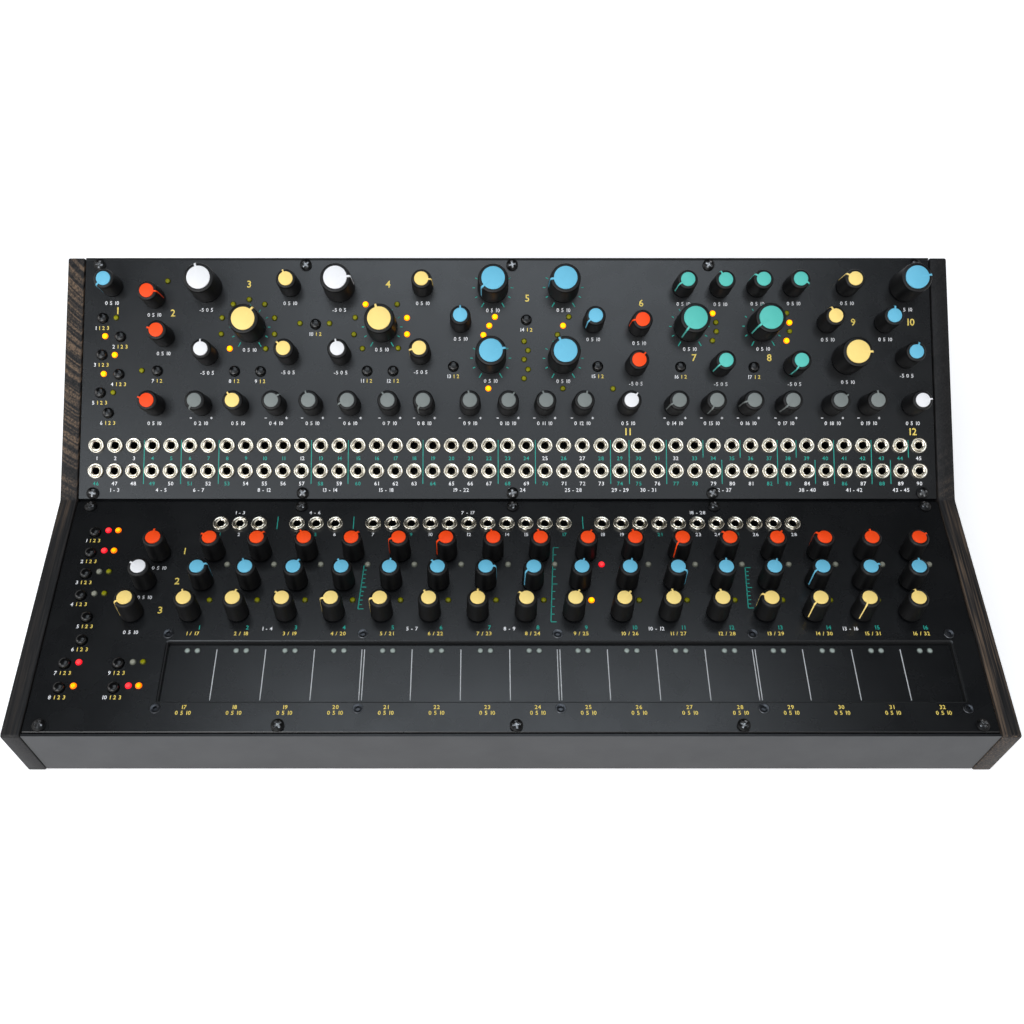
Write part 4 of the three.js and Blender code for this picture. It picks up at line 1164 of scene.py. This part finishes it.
for i, (x, d) in enumerate(LOWER_JACKS):
    lower.label(TEAL if i % 4 == 0 else WHITE, str(i + 1), x, d + UNDER_LOWER_JACK)
for text, x in (("1 - 3", -135.0), ("4 - 6", -97.2), ("7 - 17", -20.1), ("18 - 28", 95.4)):
    lower.label(WHITE, text, x, 6.6)
for i, (x, d) in enumerate(lower_buttons):
    lower.two_tone(str(i + 1), "1 2 3", x, d + UNDER_LOWER_BUTTON)
for i, (x, d) in enumerate([(-159.8, 29.4), (-160.6, 46.6), (-166.3, 62.6)]):
    lower.label(CREAM, str(i + 1), x, d, HEADING)
for *_, x, d, turn, colour in clock_knobs:
    lower.label(WHITE, "0 5 10", x + 1.0, d + (UNDER_CREAM if colour == CREAM else UNDER_CLOCK))
for x, start, end in ((-70.6, 38.0, 62.0), (22.2, 27.5, 69.0), (115.4, 39.0, 61.5)):
    lower.scale_bar(x, start, end)
FIRST_PAD_NUMBERS = -149.0
STEP_NUMBERS, PAD_NUMBERS, FOOT_NUMBERS, FOOT_SCALES = 72.0, 75.2, 112.6, 115.4
for i in range(STEPS):
    x = FIRST_PAD_NUMBERS + PAD_PITCH * i
    lower.label(TEAL, str(i + 1), x + 2.6, STEP_NUMBERS, 2.1)
    lower.label(CREAM, f"{i + 1} / {i + 1 + STEPS}", x, PAD_NUMBERS)
    lower.label(CREAM, str(i + 1 + STEPS), x + 1.5, FOOT_NUMBERS)
    lower.label(CREAM, "0 5 10", x + 1.5, FOOT_SCALES)
for text, x in (("1 - 4", -114.2), ("5 - 7", -45.9), ("8 - 9", 0.0), ("10 - 12", 69.1),
                ("13 - 16", 160.5)):
    lower.label(WHITE, text, x, 72.6)
# painted shadow: a black line along the upper panel's top edge, where the gap behind it lies in
# shade
Skin().lay(ruled(-HALF + 0.4, 0.28, HALF - 0.4, 0.28, 0.5), on_upper, smooth=False).piece(
    "upper_panel_top_edge_painted_shadow", [bore_black_and_painted_shade], slot="panel_paint")
upper.pieces()
lower.pieces()

# Control boards

BIG_POT = rounded_slab(11.8, 11.8, 1.2, 0.4, BOARD_FACE, BEHIND_PANEL)
POT = rounded_slab(9.8, 9.8, 1.0, 0.4, BOARD_FACE, BEHIND_PANEL)
SWITCH = rounded_slab(5.4, 5.4, 0.6, 0.2, BOARD_FACE, -5.3)
SHAFT = turned_profile([(0, BOARD_FACE), (2.9, BOARD_FACE), (2.9, 1.0), (0, 1.0)], 14)
board_half = HALF - 4
board_foot = (MIX_ROW * PANEL_HEIGHT + 5 + UPPER_ROWS[0] - 4.5) / 2
column_edge = -7.25 * STEP_PITCH
upper_outline = rounded_rectangle(-board_half, board_half, -board_foot, -6.0, 2.0)
lower_outline = np.array([
    (-board_half, -12.0), (-board_half, -110.0), (column_edge, -110.0), (column_edge, -70.5),
    (board_half, -70.5), (board_half, -25.0), (column_edge, -25.0), (column_edge, -12.0),
])
for name, outline, to_frame, big, small, fixed, switches in (
    ("upper_control_board", upper_outline, on_upper, large_knobs,
     small_knobs + trim_knobs + mix_knobs, trim_knobs + mix_knobs, upper_buttons),
    ("lower_control_board", lower_outline, on_lower, [], step_knobs + clock_knobs, step_knobs,
     lower_buttons),
):
    board = drilled_plate(outline, [], BOARD_BACK, BOARD_FACE, 0.1)
    skin = Skin().lay(board, to_frame, smooth=False)
    for shape, places in ((BIG_POT, places_of(big)), (POT, places_of(small)), (SWITCH, switches)):
        skin.lay(shape, to_frame, places, 1, False)
    skin.lay(SHAFT, to_frame, places_of(fixed), 2)
    skin.piece(name + "_assembly", [circuit_board, plastic, rail_finish], slot="circuit_board",
               replaced=(name,))

# Wooden cheeks

CHEEK_FOOT = 3.0
CHEEK_GAP = 0.3
CHEEK_THICKNESS = 8.6
cheek_outline = np.array([
    (FRONT_Y, CHEEK_FOOT), (REAR_Y, CHEEK_FOOT), (REAR_Y, side_point(on_upper, 0.2, -17)[1]),
    side_point(on_upper, -0.8, 0.8),
    (BEND_Y + BEND_GAP / 2 - 0.8 * math.tan(TILT / 2), SURFACE + 0.8), (FRONT_Y, SURFACE + 0.8),
])
cheek_loop = softened(cheek_outline, [1.2, 1.2, 2.5, 1.4, 3.0, 1.4])
for name, left in (("left_cheek", -HALF - CHEEK_GAP - CHEEK_THICKNESS),
                   ("right_cheek", HALF + CHEEK_GAP)):
    stations = [(left + x, inset) for x, inset in (
        (0, 0.8), (0.22, 0.25), (0.7, 0), (7.9, 0), (8.38, 0.25), (CHEEK_THICKNESS, 0.8))]
    Skin().add(bar(cheek_loop, stations)).piece(
        name + "_board", [cheek_wood], slot="cheek_wood", replaced=(name,), sharp=40)

# Back and underside

BEAD_REACH = 218.45
# the bead takes the darkened back paint: painted shade along the upper panel's top edge
bead = bar(rounded_rectangle(0.3, 1.25, -2.25, -1.25, 0.25), [(-BEAD_REACH, 0), (BEAD_REACH, 0)])
Skin().lay(bead, on_upper).piece("rear_lip_bead", [back_paint_with_painted_shade], slot="case_paint", sharp=40)
cross_screws("rear_panel_screws",
             [(x, -z) for x in (-212, -106, 0, 106, 212) for z in (9.5, 84.0)],
             on_rear, 2.4, 1.5)
cross_screws("underside_screws",
             [(x, y) for x in (-209, -70, 70, 209) for y in (-88, 92)]
             + [(x, y) for x in (56, 164) for y in (38, 84)], on_underside, 2.4, 1.5)
pin_places = [(-160.0 + x, -27.0 - z) for x, z in ((-4.6, -1.0), (0.0, 1.2), (4.6, -1.0))]
Skin().lay(rounded_slab(1.3, 3.4, 0.3, 0.15, -21.9, -4.0), on_rear, pin_places, 0, False).piece(
    "power_inlet_pins", [pin_metal], slot="rail_metal")

# Finishes of the other solids

for node, finish in {
    "case_tray": case_paint, "rear_panel": back_paint_with_painted_shade, "touch_board": pad_face,
    "upper_jack_board": circuit_board, "lower_jack_board": circuit_board,
    "power_supply_board": circuit_board, "power_inlet": plastic, "power_switch_body": plastic,
    "power_switch_rocker": button_black, "front_foot_strip": rubber, "rear_foot_strip": rubber,
}.items():
    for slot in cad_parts[node].material_slots:
        slot.material = finish

# Floor, lamps and world

floor_finish = Finish("pale_studio_floor")
rays = floor_finish.node("LightPath").outputs
direct = floor_finish.math("MULTIPLY", rays["Is Camera Ray"], 0.55)
mirrored = floor_finish.math("MULTIPLY", rays["Is Glossy Ray"], 0.28)
floor_finish.set(Base_Color=tone(232, 232, 234), Roughness=0.9, Emission_Color=(1, 1, 1, 1),
                 Emission_Strength=floor_finish.math("ADD", direct, mirrored))
FLOOR_REACH = 6.0
floor_mesh = bpy.data.meshes.new("floor")
floor_mesh.from_pydata(
    [(x * FLOOR_REACH, y * FLOOR_REACH, 0) for x, y in ((-1, -1), (1, -1), (1, 1), (-1, 1))], [],
    [(0, 1, 2, 3)])
floor = bpy.data.objects.new("floor", floor_mesh)
bpy.context.scene.collection.objects.link(floor)
floor_mesh.materials.append(floor_finish.material)

world = bpy.data.worlds.new("studio")
bpy.context.scene.world = world
world.use_nodes = True
sky = Nodes(world.node_tree)
_, sky_y, sky_z = sky.node("SeparateXYZ", Vector=sky.node("TexCoord").outputs["Generated"]).outputs
lean = sky.math("MULTIPLY_ADD", sky_y, 0.35, sky_z)
sky.fill(sky.tree.nodes["Background"], {
    "Color": (1, 1, 1, 1), "Strength": sky.span(lean, 0.9, 0.03, 0.35, 0.8, "SMOOTHSTEP")})


def soft_lamp(name, place, target, width, height, brightness, colour=(1, 1, 1)):
    """A softbox whose power is pi times its brightness times its area."""
    data = bpy.data.lights.new(name, "AREA")
    data.shape = "RECTANGLE"
    data.size = width
    data.size_y = height
    data.energy = math.pi * brightness * width * height
    data.color = colour
    lamp = bpy.data.objects.new(name, data)
    lamp.location = place
    lamp.rotation_euler = (Vector(target) - Vector(place)).to_track_quat("-Z", "Y").to_euler()
    bpy.context.scene.collection.objects.link(lamp)


COOL = (0.84, 0.92, 1)
CEILING = 1.55
for name, left, right, front, back, brightness in (
    ("main_softbox", -0.75, 0.68, -0.83, -0.32, 0.96),
    ("middle_softbox", -0.46, 0.5, -0.32, 0.05, 2.35),
    ("back_softbox", -0.52, 0.52, 0.24, 0.66, 2.32),
    ("corner_softbox", -1.0, -0.4, -1.2, -0.5, 3.4),
):
    middle = ((left + right) / 2, (front + back) / 2)
    soft_lamp(name, (*middle, CEILING), (*middle, 0), right - left, back - front, brightness, COOL)
for name, place, width, height, brightness in (
    ("front_softbox", (-0.75, -1.3, 0.7), 1.1, 0.4, 2.9),
    ("left_softbox", (-1.7, -0.3, 1.2), 0.9, 0.9, 2.4),
    ("fill_softbox", (-0.45, -1.6, 1.15), 1.2, 0.6, 3.4),
):
    soft_lamp(name, place, (0, 0, 0.05), width, height, brightness)
